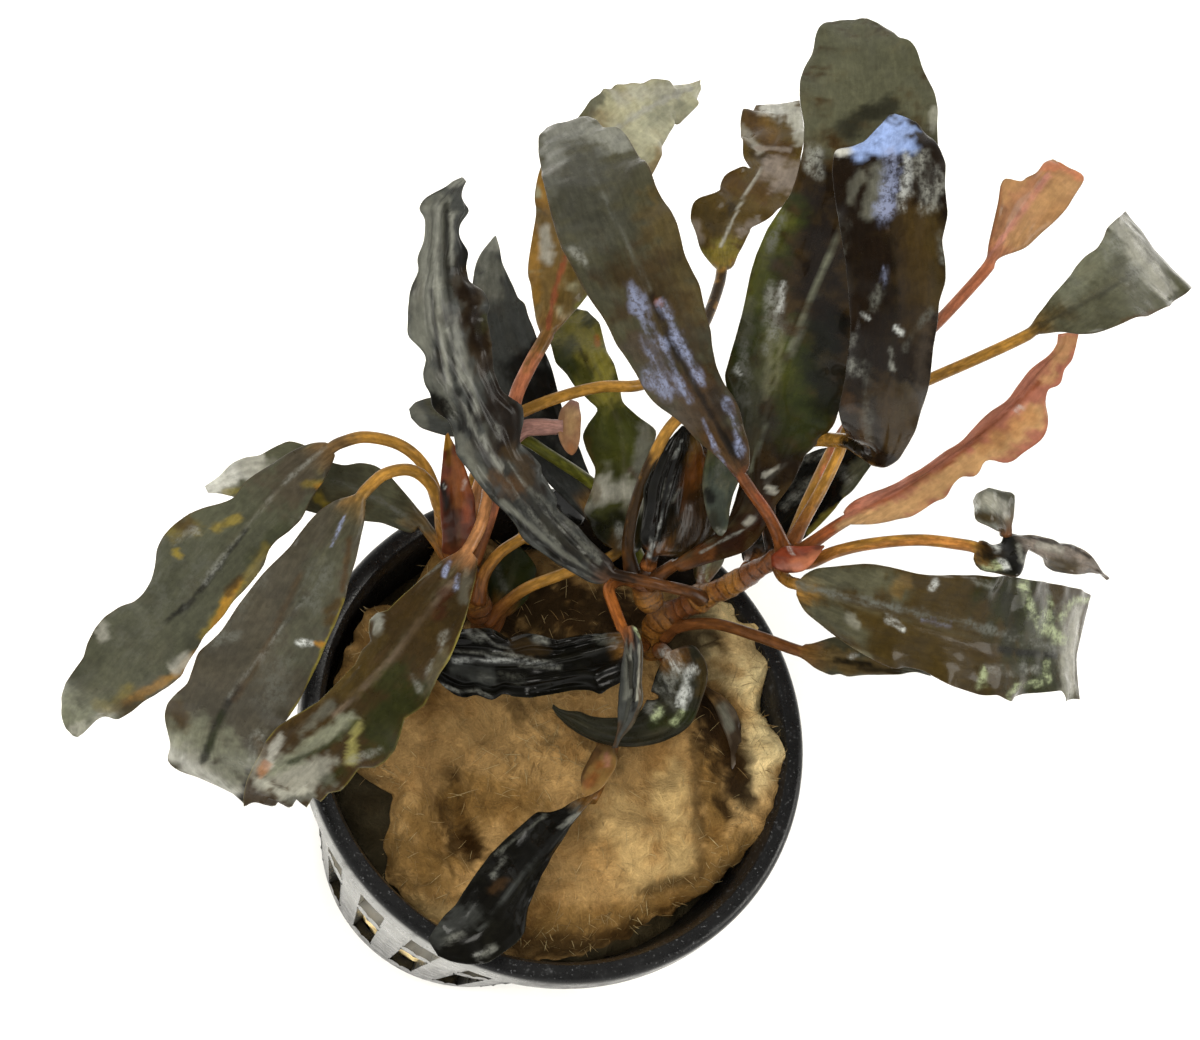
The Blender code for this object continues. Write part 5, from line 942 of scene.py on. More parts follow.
        ("702,702 728,740 736,785", 15, "shadow_brown", 0.9), ("710,760 716,850", 13, "wool_brown", 0.95),
        ("670,780 680,880", 18, "wool_pale", 0.9), ("620,820 640,880", 26, "wool_pale", 0.6),
        ("540,900 600,880", 22, "wool_tan", 0.6),
        ("500,925 600,925 690,895 745,850", 18, "wool_brown", 0.95),
        ("520,945 600,945 700,910", 13, "wool_dark", 0.8), ("640,890 690,880", 6, "wool_dark", 0.6),
        ("400,850 440,880", 24, "wool_brown", 0.8), ("420,905 450,915", 9, "wool_pale", 0.6),
        ("515,710 522,720", 8, "wool_dark", 0.6), ("400,600 440,640 420,680", 30, "wool_brown", 0.8),
        ("352,612 330,640", 16, "wool_tan", 0.8), ("372,640 350,690", 22, "wool_brown", 0.9),
        ("704,704 726,745 738,795", 20, "shadow_brown", 0.85), ("735,730 745,770", 11, "wool_dark", 0.8),
        ("694,740 698,820 700,880", 6, "wool_dark", 0.6),
        ("470,600 560,610 620,625", 36, "shadow_brown", 0.95),
        ("640,620 690,640", 30, "shadow_brown", 0.9), ("360,590 420,560", 34, "wool_brown", 0.8)],
}
PATCHES = {name: [(marks(line), *rest) for line, *rest in spots] for name, spots in PATCHES.items()}

# Tones in the picture, where the paper is burnt out: how much brighter the light is than the paper's tone
PAPER_LIGHT = 1.6
# Sine of the height where the world's light starts and ends its fade, and its strength there
WORLD_FADE = (0.25, 0.8, 1.0, 0.16)
# Name, place in metres, width, power and whether it is mirrored in wet leaves
LIGHTS = [("key", (-0.3, -0.2, 0.6), 0.5, 6.0, False), ("back", (0.05, 0.35, 0.6), 0.5, 3.0, False),
          ("side", (0.5, -0.05, 0.45), 0.3, 1.6, True)]


def view_axes():
    """The view's right, up and towards-the-viewer directions in the part's frame."""
    lean_right, lean_up = POT_LEAN
    towards = math.sqrt(1 - lean_right ** 2 - lean_up ** 2)
    flat = math.sqrt(1 - lean_right ** 2)
    right = Vector((flat, 0, lean_right))
    up = Vector((-lean_right * lean_up / flat, towards / flat, lean_up))
    back = Vector((-lean_right * towards / flat, -lean_up / flat, towards))
    return right, up, back


VIEW_RIGHT, VIEW_UP, VIEW_BACK = view_axes()
VIEWER = (Vector((0, 0, POT_HEIGHT)) - VIEW_RIGHT * RIM_IN_VIEW[0] - VIEW_UP * RIM_IN_VIEW[1]
          - VIEW_BACK * RIM_IN_VIEW[2])


def place(x, y, height):
    """The point seen at picture point x, y at this height above the rim."""
    ray = (VIEW_RIGHT * (x - VIEW_CENTRE[0]) - VIEW_UP * (y - VIEW_CENTRE[1])) / VIEW_FOCAL - VIEW_BACK
    return VIEWER + ray * ((POT_HEIGHT + height - VIEWER.z) / ray.z)


def wall_radius(height):
    """The net pot's outer radius at a height."""
    return BASE_RADIUS + (RIM_RADIUS - LIP_REACH - BASE_RADIUS) * height / POT_HEIGHT


def curve_through(rows):
    """A smooth curve through rows of numbers that start with a point: a function of 0 to 1."""
    reach = [0.0]
    for before, after in zip(rows, rows[1:]):
        reach.append(reach[-1] + math.dist(before[:3], after[:3]))

    def slope(index):
        low, high = max(index - 1, 0), min(index + 1, len(rows) - 1)
        return [(b - a) / (reach[high] - reach[low]) for a, b in zip(rows[low], rows[high])]

    slopes = [slope(index) for index in range(len(rows))]

    def at(fraction):
        distance = min(max(fraction, 0.0), 1.0) * reach[-1]
        index = min(max(k for k in range(len(rows)) if reach[k] <= distance), len(rows) - 2)
        span = reach[index + 1] - reach[index]
        t = (distance - reach[index]) / span
        a, b = 2 * t ** 3 - 3 * t ** 2 + 1, t ** 3 - 2 * t ** 2 + t
        c, d = 3 * t ** 2 - 2 * t ** 3, t ** 3 - t ** 2
        return [a * p + b * span * m + c * q + d * span * n for p, m, q, n in
                zip(rows[index], slopes[index], rows[index + 1], slopes[index + 1])]

    return at, reach[-1]


def frame_at(at, fraction, turn):
    """The centre, the right-hand direction and the upper side's direction at a fraction of a curve."""
    step = 0.01
    centre = Vector(at(fraction)[:3])
    ahead = Vector(at(fraction + step)[:3]) - Vector(at(fraction - step)[:3])
    ahead.normalize()
    upper = VIEWER - centre
    upper -= ahead * upper.dot(ahead)
    upper.normalize()
    right = ahead.cross(upper)
    angle = math.radians(turn)
    turned_right = right * math.cos(angle) - upper * math.sin(angle)
    turned_upper = upper * math.cos(angle) + right * math.sin(angle)
    return centre, turned_right, turned_upper


def in_picture(points):
    """Picture x, picture y and distance in front of the viewer for an array of points."""
    away = points - np.array(VIEWER)
    depth = -away @ np.array(VIEW_BACK)
    return (VIEW_CENTRE[0] + VIEW_FOCAL * (away @ np.array(VIEW_RIGHT)) / depth,
            VIEW_CENTRE[1] - VIEW_FOCAL * (away @ np.array(VIEW_UP)) / depth, depth)


def colour(code):
    """The linear colour that shows as this six-digit code where the light is as bright as on the paper."""
    parts = np.array([int(code[k:k + 2], 16) / 255 for k in (0, 2, 4)])
    return np.where(parts <= 0.04045, parts / 12.92, ((parts + 0.055) / 1.055) ** 2.4) / PAPER_LIGHT


def drift(points, scale, seed):
    """Smooth numbers around 0, mostly within -1 to 1, that vary over the scale: the same each run."""
    waves = 9
    chance = np.random.default_rng(seed)
    ways = chance.normal(size=(waves, points.shape[-1]))
    ways *= (chance.uniform(0.6, 1.5, waves) * math.tau / scale / np.linalg.norm(ways, axis=1))[:, None]
    return np.sin(points @ ways.T + chance.uniform(0, math.tau, waves)).sum(-1) / math.sqrt(waves)


def step_up(values, low, high):
    """0 below low, 1 above high and smooth between."""
    t = np.clip((values - low) / (high - low), 0, 1)
    return t * t * (3 - 2 * t)


def mix(under, over, share):
    """Rows of one array blended towards another by a share for each row."""
    return under + (over - under) * share[:, None]


def plain_tone(shade, count):
    """One colour from the table for a number of points."""
    return np.broadcast_to(colour(SHADES[shade]), (count, 3))


def paint(tint, points, patches, seed):
    """Lay patches of colour, painted shade and painted light over the tints, and painted sheen over that:
    returns the tints and the painted sheen.
    """
    across, down, _ = in_picture(points)
    ragged = 0.3 * drift(points, 2.2, seed) + 0.2 * drift(points, 0.8, seed + 1)
    sheen = np.concatenate([tint, np.zeros((len(tint), 1))], 1)
    for line, spread, shade, strength in patches:
        away = np.full(len(points), FAR_OFF)
        for (x0, y0), (x1, y1) in zip(line, line[1:] or line):
            way = np.array([x1 - x0, y1 - y0])
            to = np.stack([across - x0, down - y0], 1)
            along = np.clip(to @ way / max(way @ way, 1e-6), 0, 1)
            away = np.minimum(away, np.linalg.norm(to - along[:, None] * way, axis=1))
        # Glare shades are painted reflections and glints, kept apart as the painted sheen
        if shade.startswith("glare"):
            share = strength * (1 - step_up(away / spread + ragged, 0.1, 1.6))
            over = share > sheen[:, 3]
            sheen[over, :3] = colour(SHADES[shade])
            sheen[:, 3] = np.maximum(sheen[:, 3], share)
        else:
            share = strength * (1 - step_up(away / spread + ragged, 0.4, 1.5))
            tint = mix(tint, colour(SHADES[shade]), share)
    return tint, sheen


def make_mesh(name, points, faces, tint, extras, look, node):
    """One piece from points in millimetres, with its tints, that stands for a CAD node."""
    mesh = bpy.data.meshes.new(name)
    mesh.from_pydata((np.asarray(points) * MM).tolist(), [], faces)
    mesh.update()
    for key, values in {"tint": np.concatenate([tint, np.ones((len(tint), 1))], 1), **extras}.items():
        if values.ndim == 2:
            mesh.attributes.new(key, "FLOAT_COLOR", "POINT").data.foreach_set("color", values.ravel())
        else:
            mesh.attributes.new(key, "FLOAT", "POINT").data.foreach_set("value", values)
    mesh.materials.append(look)
    mesh.shade_smooth()
    piece = bpy.data.objects.new(name, mesh)
    bpy.context.scene.collection.objects.link(piece)
    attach(piece, "root")
    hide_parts(node)
    return piece


def skin(rows, columns):
    """Faces of a closed tube of rings, with a fan over each end."""
    faces = []
    for row in range(rows - 1):
        for column in range(columns):
            after = (column + 1) % columns
            low, high = row * columns, (row + 1) * columns
            faces.append((low + column, low + after, high + after, high + column))
    faces.append(tuple(reversed(range(columns))))
    faces.append(tuple((rows - 1) * columns + column for column in range(columns)))
    return faces


def smoothed(ways, reach, half):
    """Arrows averaged with their neighbours, weighted by a bell curve."""
    kernel = np.exp(-0.5 * (np.arange(-half, half + 1) / reach) ** 2)
    padded = np.pad(ways, ((half, half), (0, 0)), "edge")
    return np.stack([np.convolve(padded[:, k], kernel / kernel.sum(), "valid") for k in range(3)], 1)


def steadied(ways, reach):
    """Directions averaged with their neighbours."""
    mean = smoothed(ways, reach, 3 * reach)
    return mean / np.linalg.norm(mean, axis=1)[:, None]


def stations(leaf):
    """A leaf's centre line from its foot to its tip.

    For each station: the distance gone from the blade's start, what is left of the blade, the centre,
    the right-hand and the upper direction, and the table's width. With them the blade's length.
    """
    stalk = [(*place(*row), 2 * PETIOLE_RADIUS, leaf["blade"][0][4]) for row in leaf["stalk"]]
    blade = [(*place(*row[:3]), *row[3:]) for row in leaf["blade"]]
    at, length = curve_through(stalk + blade)
    blade_length = curve_through(blade)[1]
    count = max(round(length / STATION_STEP), FEWEST_STATIONS)
    # Closer together at the tip, where the outline turns
    shares = np.linspace(0, 1, count) ** 0.94
    shares = (shares + 0.06 * np.sin(shares * math.pi / 2)) / 1.06
    rows = [(*frame_at(at, share, at(share)[4]), at(share)[3]) for share in shares]
    centre, right, upper = (np.array([list(row[k]) for row in rows]) for k in range(3))
    gone = shares * length - (length - blade_length)
    on_blade = step_up(gone, 0, 2.5)
    right, upper = (mix(steadied(ways, STEADY_REACH), steadied(ways, leaf["steady"]), on_blade)
                    for ways in (right, upper))
    upper -= right * (upper * right).sum(1)[:, None]
    upper /= np.linalg.norm(upper, axis=1)[:, None]
    return SimpleNamespace(gone=gone, left=blade_length - gone, centre=centre, right=right, upper=upper,
                           width=np.array([row[3] for row in rows]), blade_length=blade_length)


def margin_reach(margin, side, spine, line, beside, leaf):
    """How far along its margin each station's point lies, where the margin starts and its first width.

    line is the centre line in the picture, and beside its change there for a step to the right.
    """
    gone, wing = spine.gone, leaf["wing"]
    where, spans = [], []
    for point in margin:
        away = point - line
        span = (away * beside).sum(1) / (beside ** 2).sum(1)
        miss = np.linalg.norm(away - beside * span[:, None], axis=1) + 0.1 * np.linalg.norm(away, axis=1)
        nearest = np.where((gone >= -wing) & (side * span > -0.3), miss, FAR_OFF).argmin()
        where.append(gone[nearest])
        spans.append(max(side * span[nearest], 0.12))
    passed = np.maximum.accumulate(where) + 1e-4 * np.arange(len(where))
    arc, run = (np.concatenate([[0], np.cumsum(np.linalg.norm(np.diff(path, axis=0), axis=1))])
                for path in (margin, line))
    reach = np.interp(gone, passed, arc)
    if not leaf["blunt"]:
        # The last part of the margin is shared out evenly, so that both sides meet at the tip
        begin = gone[-1] * TIP_FROM
        beyond = np.clip(run - np.interp(begin, gone, run), 0, None)
        arc_begin = np.interp(begin, passed, arc)
        evenly = arc_begin + beyond + (arc[-1] - arc_begin - beyond[-1]) * (beyond / beyond[-1]) ** 2
        reach = np.where(gone > begin, np.maximum.accumulate(evenly), reach)
    return [np.interp(reach, arc, margin[:, k]) for k in (0, 1)], passed[0], spans[0]


def edge_ways(margin, side, spine, limit, leaf):
    """The way from each station's centre to a margin's picture points, and where the margin starts."""
    gone, centre, right, wing = spine.gone, spine.centre, spine.right, leaf["wing"]
    ahead = np.gradient(centre, axis=0)
    ahead /= np.linalg.norm(ahead, axis=1)[:, None]
    line, beside, onward = (np.stack(in_picture(centre + way)[:2], 1) for way in (0 * right, right, ahead))
    beside, onward = beside - line, onward - line
    seen, start, first_span = margin_reach(np.array(margin), side, spine, line, beside, leaf)
    away = np.column_stack(seen) - line
    # The steps to the right and ahead that are seen as this way in the picture
    bb, bo, oo = (beside ** 2).sum(1), (beside * onward).sum(1), (onward ** 2).sum(1) + 2
    bd, od = (beside * away).sum(1), (onward * away).sum(1)
    across, along = ((bd * oo - bo * od) / (bb * oo - bo ** 2), (bb * od - bo * bd) / (bb * oo - bo ** 2))
    tip = gone[-1] * TIP_FROM
    near_tip = np.zeros(len(gone)) if leaf["blunt"] else step_up(gone, tip, tip + 2)
    bound = 0.6 + 5 * near_tip
    across = side * np.clip(side * across, 0.08 - 3 * near_tip, np.maximum(limit, 9 * near_tip))
    before = gone < start
    narrow = np.interp(gone, [-wing, max(start, 0.1 - wing)], [PETIOLE_RADIUS, first_span])
    across = np.where(before, side * narrow, across)
    along = np.where(before, 0, np.clip(along, -bound, bound))
    way = right * across[:, None] + ahead * along[:, None]
    even = smoothed(way, leaf["soften"], 4)
    return even + (way - even) * step_up(gone, gone[-1] - 1.4, gone[-1] - 0.5)[:, None], start


def leaf_edges(name, leaf, spine, radius):
    """The ways to a leaf's left-hand and right-hand edge, its centre line, and where its margins start."""
    gone = spine.gone
    margins = MARGINS.get(name, ((), ()))
    tip_gone = np.clip(1 - spine.left / leaf["tip"], 0, 1)
    narrowing = np.maximum((1 - tip_gone ** leaf["point"]) ** (1 / leaf["point"]), 0.03)
    ahead = np.cross(spine.upper, spine.right)
    bend = (np.gradient(spine.right, axis=0) * ahead).sum(1) / np.gradient(gone)
    edges, found, starts = [], [], []
    for side, margin in zip((-1, 1), margins):
        limit = 0.8 / np.maximum(-side * bend, 1e-3)
        if margin:
            way, start = edge_ways(margin, side, spine, limit, leaf)
            starts.append(start)
            found.append(way)
        else:
            half = np.maximum(np.minimum(0.5 * spine.width * narrowing, limit), 0.1)
            way = spine.right * (side * half)[:, None]
        edges.append(np.where(gone[:, None] < -leaf["wing"], spine.right * (side * radius)[:, None], way))
    centre = spine.centre
    if found and not leaf["blunt"]:
        # Where the margins meet, the centre line comes to them
        pull = step_up(gone, spine.blade_length * TIP_FROM, spine.blade_length)[:, None]
        middle = sum(found) / len(found) * pull
        centre = centre + middle
        edges = [edge - middle if margin else edge for edge, margin in zip(edges, margins)]
    return edges, centre, max(min(starts, default=0), -leaf["wing"])


def leaf_rings(leaf, spine, halves, begin):
    """The rings of points round a leaf: how far across and on which face each point lies, its half
    width, and for each ring how flat and calm it is, how far along and how much is left."""
    gone, left = spine.gone[:, None], spine.left[:, None]
    flat = step_up(gone, begin - 0.4, begin + 5.5) if leaf["stalk"] else step_up(gone, -2, 3)
    widest = max(half.max() for half in halves)
    columns = int(np.clip(round(widest / COLUMN_STEP), *COLUMN_COUNTS))
    turns = np.linspace(0, math.pi, columns + 1)
    shape = (len(gone), 2 * columns)
    across = np.broadcast_to(np.concatenate([-np.cos(turns), np.cos(turns[1:-1])]), shape)
    face = np.broadcast_to(np.concatenate([np.sin(turns), -np.sin(turns[1:-1])]), shape)
    half = np.where(across < 0, halves[0][:, None], halves[1][:, None])
    return SimpleNamespace(across=across, face=face, half=half, flat=flat, gone=gone, left=left,
                           calm=flat * np.clip(left / 3, 0.25, 1))


def leaf_relief(name, leaf, rings, radius, blade_length, seed):
    """How far across and above the centre line the points lie: margin waves, veins, pleats, midrib."""
    across, face, flat, calm = rings.across, rings.face, rings.flat, rings.calm
    x = across * rings.half
    thick = 0.5 * BLADE_THICKNESS * np.sign(face) * np.abs(face) ** 0.7 * np.clip(rings.left / 2, 0.3, 1)
    z = radius[:, None] * face * (1 - flat) + thick * flat
    # Margin waves, which die away over the stalk and at the tip
    walk = np.column_stack([rings.gone / 6, np.full(len(flat), seed * 3.1), np.zeros(len(flat))])
    for side, margin in zip((-1, 1), MARGINS.get(name, ((), ()))):
        shift = 0.9 * drift(walk + side, 3.6, seed + 40)[:, None]
        phase = math.tau * rings.gone / leaf["wave"] + shift + side
        wave = np.sin(phase) + 0.2 * np.sin(2.3 * phase + 1)
        on_side = across * side > 0
        z = z + on_side * leaf["ruffle"] * 0.75 * wave * np.abs(across) ** 2.3 * calm
        if not margin:
            x = x * (1 + on_side * 0.035 * np.cos(phase) * calm)
    z = z + math.tan(math.radians(leaf["fold"])) * np.abs(x) * flat
    vein = (rings.gone - VEIN_SLANT * np.abs(x) + 0.25 * drift(walk, 0.5, seed + 9)[:, None]) / VEIN_STEP
    z = z + VEIN_HEIGHT * np.sin(math.tau * vein) * np.abs(across) ** 0.7 * calm
    wander = 1.5 * drift(walk, 2.5, seed)[:, None]
    pleats = np.sin(3.3 * math.pi * across + wander)
    pleats = pleats + 0.5 * np.sin(7.1 * math.pi * across - 1.4 * wander + 1)
    z = z + leaf["pleat"] * pleats * calm
    rib = np.exp(-(x / RIB_WIDTH) ** 2) * flat * np.clip(rings.left / blade_length, 0, 1)
    return x, z - np.where(face > 0, RIB_SINK, RIB_KEEL) * rib


def torn_end(leaf, rings, seed):
    """How far a torn-off end reaches beyond the last station."""
    reach = np.interp(rings.across, *zip(*leaf["end"])) * step_up(-rings.left, -3.5, 0)
    ragged = 0.16 * drift(3.0 * rings.across.reshape(-1, 1), 2.0, seed).reshape(rings.across.shape)
    return reach + ragged * (rings.left < 0.6)


def at_points(values, rings):
    """Numbers for rings or for their points as one row over all points."""
    return np.broadcast_to(values, rings.across.shape).reshape(-1).astype(float)


def leaf_tones(name, leaf, rings, x, points, begin, blade_length, seed):
    """The tint, with its painted shade and light, and the painted sheen at a leaf's points."""
    shades = {**PLAIN_SHADES, **leaf["shades"]}
    tone = mix(plain_tone(shades["blade"], len(points)), colour(SHADES[shades["under"]]),
               0.75 * at_points(rings.face < -0.02, rings))
    rib = np.exp(-(x / 0.22) ** 2) * np.clip(rings.left / blade_length, 0, 1)
    tone = mix(tone, colour(SHADES[shades["rib"]]), at_points(rib, rings) * 0.4)
    edge = step_up(np.abs(rings.across), 0.95, 1.0)
    tone = mix(tone, colour(SHADES[shades["edge"]]), at_points(edge, rings) * 0.6)
    stalk_tone = mix(plain_tone(shades["foot"], len(points)), colour(SHADES[shades["stalk"]]),
                     at_points(step_up(rings.gone - rings.gone[0], 0.5, 9), rings))
    on_blade = np.maximum(step_up(rings.gone, begin - 1.0, begin + 2.6),
                          step_up(np.abs(x), 0.5, 1.6) * (rings.gone > -leaf["wing"]))
    tone = mix(stalk_tone, tone, at_points(on_blade, rings))
    return paint(tone, points, PATCHES.get(name, ()), seed)


def make_leaf(name, leaf, seed, look):
    """One leaf, stalk and blade in one closed mesh, with wavy margins, veins and a midrib."""
    spine = stations(leaf)
    swell = 1 + STALK_SWELL * bool(leaf["stalk"]) * np.exp(-(spine.gone - spine.gone[0]) / 2.0)
    radius = PETIOLE_RADIUS * leaf["stout"] * swell
    edges, centre, begin = leaf_edges(name, leaf, spine, radius)
    halves = [np.maximum(np.linalg.norm(edge, axis=1), 0.04) for edge in edges]
    left_way, right_way = ((edge / half[:, None])[:, None, :] for edge, half in zip(edges, halves))
    rings = leaf_rings(leaf, spine, halves, begin)
    x, z = leaf_relief(name, leaf, rings, radius, spine.blade_length, seed)
    outward = np.where(rings.across[..., None] < 0, left_way, right_way)
    points = centre[:, None, :] + outward * np.abs(x)[..., None] + spine.upper[:, None, :] * z[..., None]
    if leaf["end"]:
        ahead = np.cross(spine.upper, spine.right)
        points = points + ahead[:, None, :] * torn_end(leaf, rings, seed)[..., None]
    points = points.reshape(-1, 3)
    lumps = 0.2 * drift(points, 7, seed) + 0.07 * drift(points, 3, seed + 7)
    lump_share = (rings.calm * np.abs(rings.across) ** 0.5).reshape(-1) * leaf["lumps"]
    points = points + np.repeat(spine.upper, x.shape[1], 0) * (lumps * lump_share)[:, None]
    tone, sheen = leaf_tones(name, leaf, rings, x, points, begin, spine.blade_length, seed)
    extras = {"along": at_points(rings.gone, rings), "side": at_points(x, rings),
              "blade": at_points(rings.flat, rings), "sheen": sheen}
    return make_mesh(name + "_blade", points, skin(*x.shape), tone, extras, look, name)


class Graph:
    """Short calls for building a material's nodes."""

    def __init__(self, name):
        self.material = bpy.data.materials.new(name)
        self.material.use_nodes = True
        self.tree = self.material.node_tree
        self.shader = self.tree.nodes["Principled BSDF"]

    def node(self, kind, inputs=(), **settings):
        """A node with its inputs fed and its settings made."""
        made = self.tree.nodes.new("ShaderNode" + kind)
        for key, value in settings.items():
            setattr(made, key, value)
        for key, value in dict(inputs).items():
            self.feed(made.inputs[key], value)
        return made

    def feed(self, socket, value):
        """Link a socket to another or give it a value."""
        if isinstance(value, bpy.types.NodeSocket):
            self.tree.links.new(value, socket)
        else:
            socket.default_value = value

    def math(self, operation, *values):
        return self.node("Math", dict(enumerate(values)), operation=operation).outputs[0]

    def vector(self, operation, *values, scale=None):
        inputs = dict(enumerate(values))
        if scale is not None:
            inputs["Scale"] = scale
        return self.node("VectorMath", inputs, operation=operation).outputs[0]

    def noise(self, vector, scale, detail=3.0, roughness=0.55):
        inputs = {"Vector": vector, "Scale": scale, "Detail": detail, "Roughness": roughness}
        return self.node("TexNoise", inputs).outputs["Fac"]

    def spread(self, value, low, high, out_low, out_high):
        """Map low to out_low and high to out_high, smoothly between."""
        inputs = {"Value": value, "From Min": low, "From Max": high, "To Min": out_low, "To Max": out_high}
        return self.node("MapRange", inputs, interpolation_type="SMOOTHSTEP").outputs[0]

    def blend(self, share, under, over):
        made = self.node("Mix", data_type="RGBA")
        self.feed(made.inputs["Factor"], share)
        self.feed(made.inputs[6], under)
        self.feed(made.inputs[7], over)
        return made.outputs[2]

    def attribute(self, name, output="Fac"):
        return self.node("Attribute", attribute_name=name).outputs[output]

    def millimetres(self):
        """The place in the piece, in millimetres."""
        place_in_piece = self.node("TexCoord").outputs["Object"]
        return self.vector("SCALE", place_in_piece, scale=1000.0)

    def bump(self, height, depth, strength):
        inputs = {"Height": height, "Distance": depth * MM, "Strength": strength}
        return self.node("Bump", inputs).outputs[0]

    def done(self, colour_in, roughness, normal=None, **plain):
        """Feed the shader and return the material."""
        self.feed(self.shader.inputs["Base Color"], colour_in)
        self.feed(self.shader.inputs["Roughness"], roughness)
        if normal is not None:
            self.feed(self.shader.inputs["Normal"], normal)
        for key, value in plain.items():
            self.shader.inputs[key.replace("_", " ")].default_value = value
        return self.material


def shade4(name):
    """A colour from the table with full cover."""
    return (*colour(SHADES[name]), 1.0)


def leaf_look(name, second, gloss, streak, coat):
    """A smooth wet leaf: soft tone shifts, fine streaks along it and patches of painted sheen, painted
    reflections laid into the base colour.
    """
    g = Graph(name)
    place_mm = g.millimetres()
    along, side, blade = g.attribute("along"), g.attribute("side"), g.attribute("blade")
    cloud = g.noise(place_mm, 0.24, 3.0)
    mottle = g.noise(place_mm, 1.3, 4.0, 0.6)
    grain = g.node("CombineXYZ", {0: side, 1: g.math("MULTIPLY", along, 0.22), 2: cloud}).outputs[0]
    streaks = g.noise(grain, 2.6, 5.0, 0.65)
    slant = g.math("SUBTRACT", along, g.math("MULTIPLY", g.math("ABSOLUTE", side), VEIN_SLANT))
    swing = g.math("MULTIPLY", cloud, 5.0)
    veins = g.math("SINE", g.math("MULTIPLY_ADD", slant, math.tau / VEIN_STEP, swing))
    veins = g.math("MULTIPLY", g.spread(veins, 0.7, 1.0, 0.0, 0.06), blade)
    bright = g.math("MULTIPLY", g.spread(cloud, 0.3, 0.7, 0.84, 1.16),
                    g.spread(mottle, 0.3, 0.7, 0.88, 1.12))
    bright = g.math("MULTIPLY", bright, g.spread(streaks, 0.35, 0.7, 1 - 0.3 * streak, 1 + 0.45 * streak))
    bright = g.math("MULTIPLY", g.math("ADD", bright, veins), 0.72)
    lines = g.math("MULTIPLY", g.spread(streaks, 0.36, 0.66, -0.2, 0.22), g.math("SUBTRACT", 1.0, blade))
    bright = g.math("MULTIPLY", bright, g.math("ADD", lines, 1.0))
    warm = g.math("MULTIPLY", g.spread(g.noise(place_mm, 0.45, 3.0), 0.5, 0.75, 0.0, 0.18), blade)
    tint = g.blend(warm, g.attribute("tint", "Color"), shade4(second))
    tint = g.vector("SCALE", tint, scale=bright)
    # The painted sheen breaks up into streaks along the leaf
    drawn = g.node("CombineXYZ", {0: side, 1: g.math("MULTIPLY", along, 0.42), 2: cloud}).outputs[0]
    patchy = g.noise(drawn, 0.8, 5.0, 0.6)
    wisps = g.math("MULTIPLY_ADD", streaks, streak * 0.6, g.math("MULTIPLY", patchy, 1 - streak * 0.6))
    flecks = g.noise(place_mm, 2.4, 4.0, 0.7)
    broken = g.math("MULTIPLY", g.spread(wisps, 0.4, 0.58, 0.15, 1.0),
                    g.spread(flecks, 0.36, 0.56, 0.3, 1.0))
    share = g.math("MULTIPLY", broken, g.attribute("sheen", "Alpha"))
    tint = g.blend(share, tint, g.attribute("sheen", "Color"))
    rough = g.spread(g.noise(place_mm, 0.7, 3.0), 0.35, 0.7, gloss * 0.8, gloss * 1.4)
    height = g.math("MULTIPLY_ADD", streaks, 0.7, g.math("MULTIPLY", mottle, 0.3))
    return g.done(tint, rough, g.bump(height, 0.07, 0.6), Coat_Weight=coat, Coat_Roughness=0.06,
                  Specular_IOR_Level=0.12)


def wool_look():
    """Matted mineral fibres: crossing strands, clumps and darker damp places."""
    g = Graph("rockwool_felt")
    place_mm = g.millimetres()
    bent = g.node("TexNoise", {"Vector": place_mm, "Scale": 0.16, "Detail": 2.0}).outputs["Color"]
    swirl = g.vector("ADD", place_mm, g.vector("SCALE", bent, scale=9.0))
    long_way = g.vector("MULTIPLY", swirl, (2.6, 0.42, 1.0))
    cross_way = g.vector("MULTIPLY", swirl, (0.5, 2.9, 1.0))
    fibre_a = g.noise(long_way, 1.2, 5.0, 0.68)
    fibre_b = g.noise(cross_way, 1.2, 5.0, 0.68)
    fibres = g.math("MAXIMUM", fibre_a, fibre_b)
    clump = g.noise(place_mm, 0.35, 5.0, 0.6)
    fine = g.noise(place_mm, 5.5, 3.0, 0.7)
    bright = g.spread(clump, 0.3, 0.72, 0.8, 1.2)
    bright = g.math("MULTIPLY", bright, g.spread(fibres, 0.42, 0.78, 0.82, 1.24))
    bright = g.math("MULTIPLY", bright, g.spread(fine, 0.3, 0.7, 0.9, 1.1))
    darker = g.blend(g.spread(g.noise(place_mm, 0.22, 4.0), 0.45, 0.7, 0.0, 0.7), (1.0, 1.0, 1.0, 1.0),
                     (0.72, 0.62, 0.5, 1.0))
    tint = g.vector("MULTIPLY", g.attribute("tint", "Color"), darker)
    tint = g.vector("SCALE", tint, scale=bright)
    height = g.math("ADD", g.math("MULTIPLY", fibres, 1.2), g.math("MULTIPLY", fine, 0.35))
    height = g.math("MULTIPLY_ADD", clump, 1.4, height)
    return g.done(tint, 0.92, g.bump(height, 0.5, 0.9), Specular_IOR_Level=0.15)


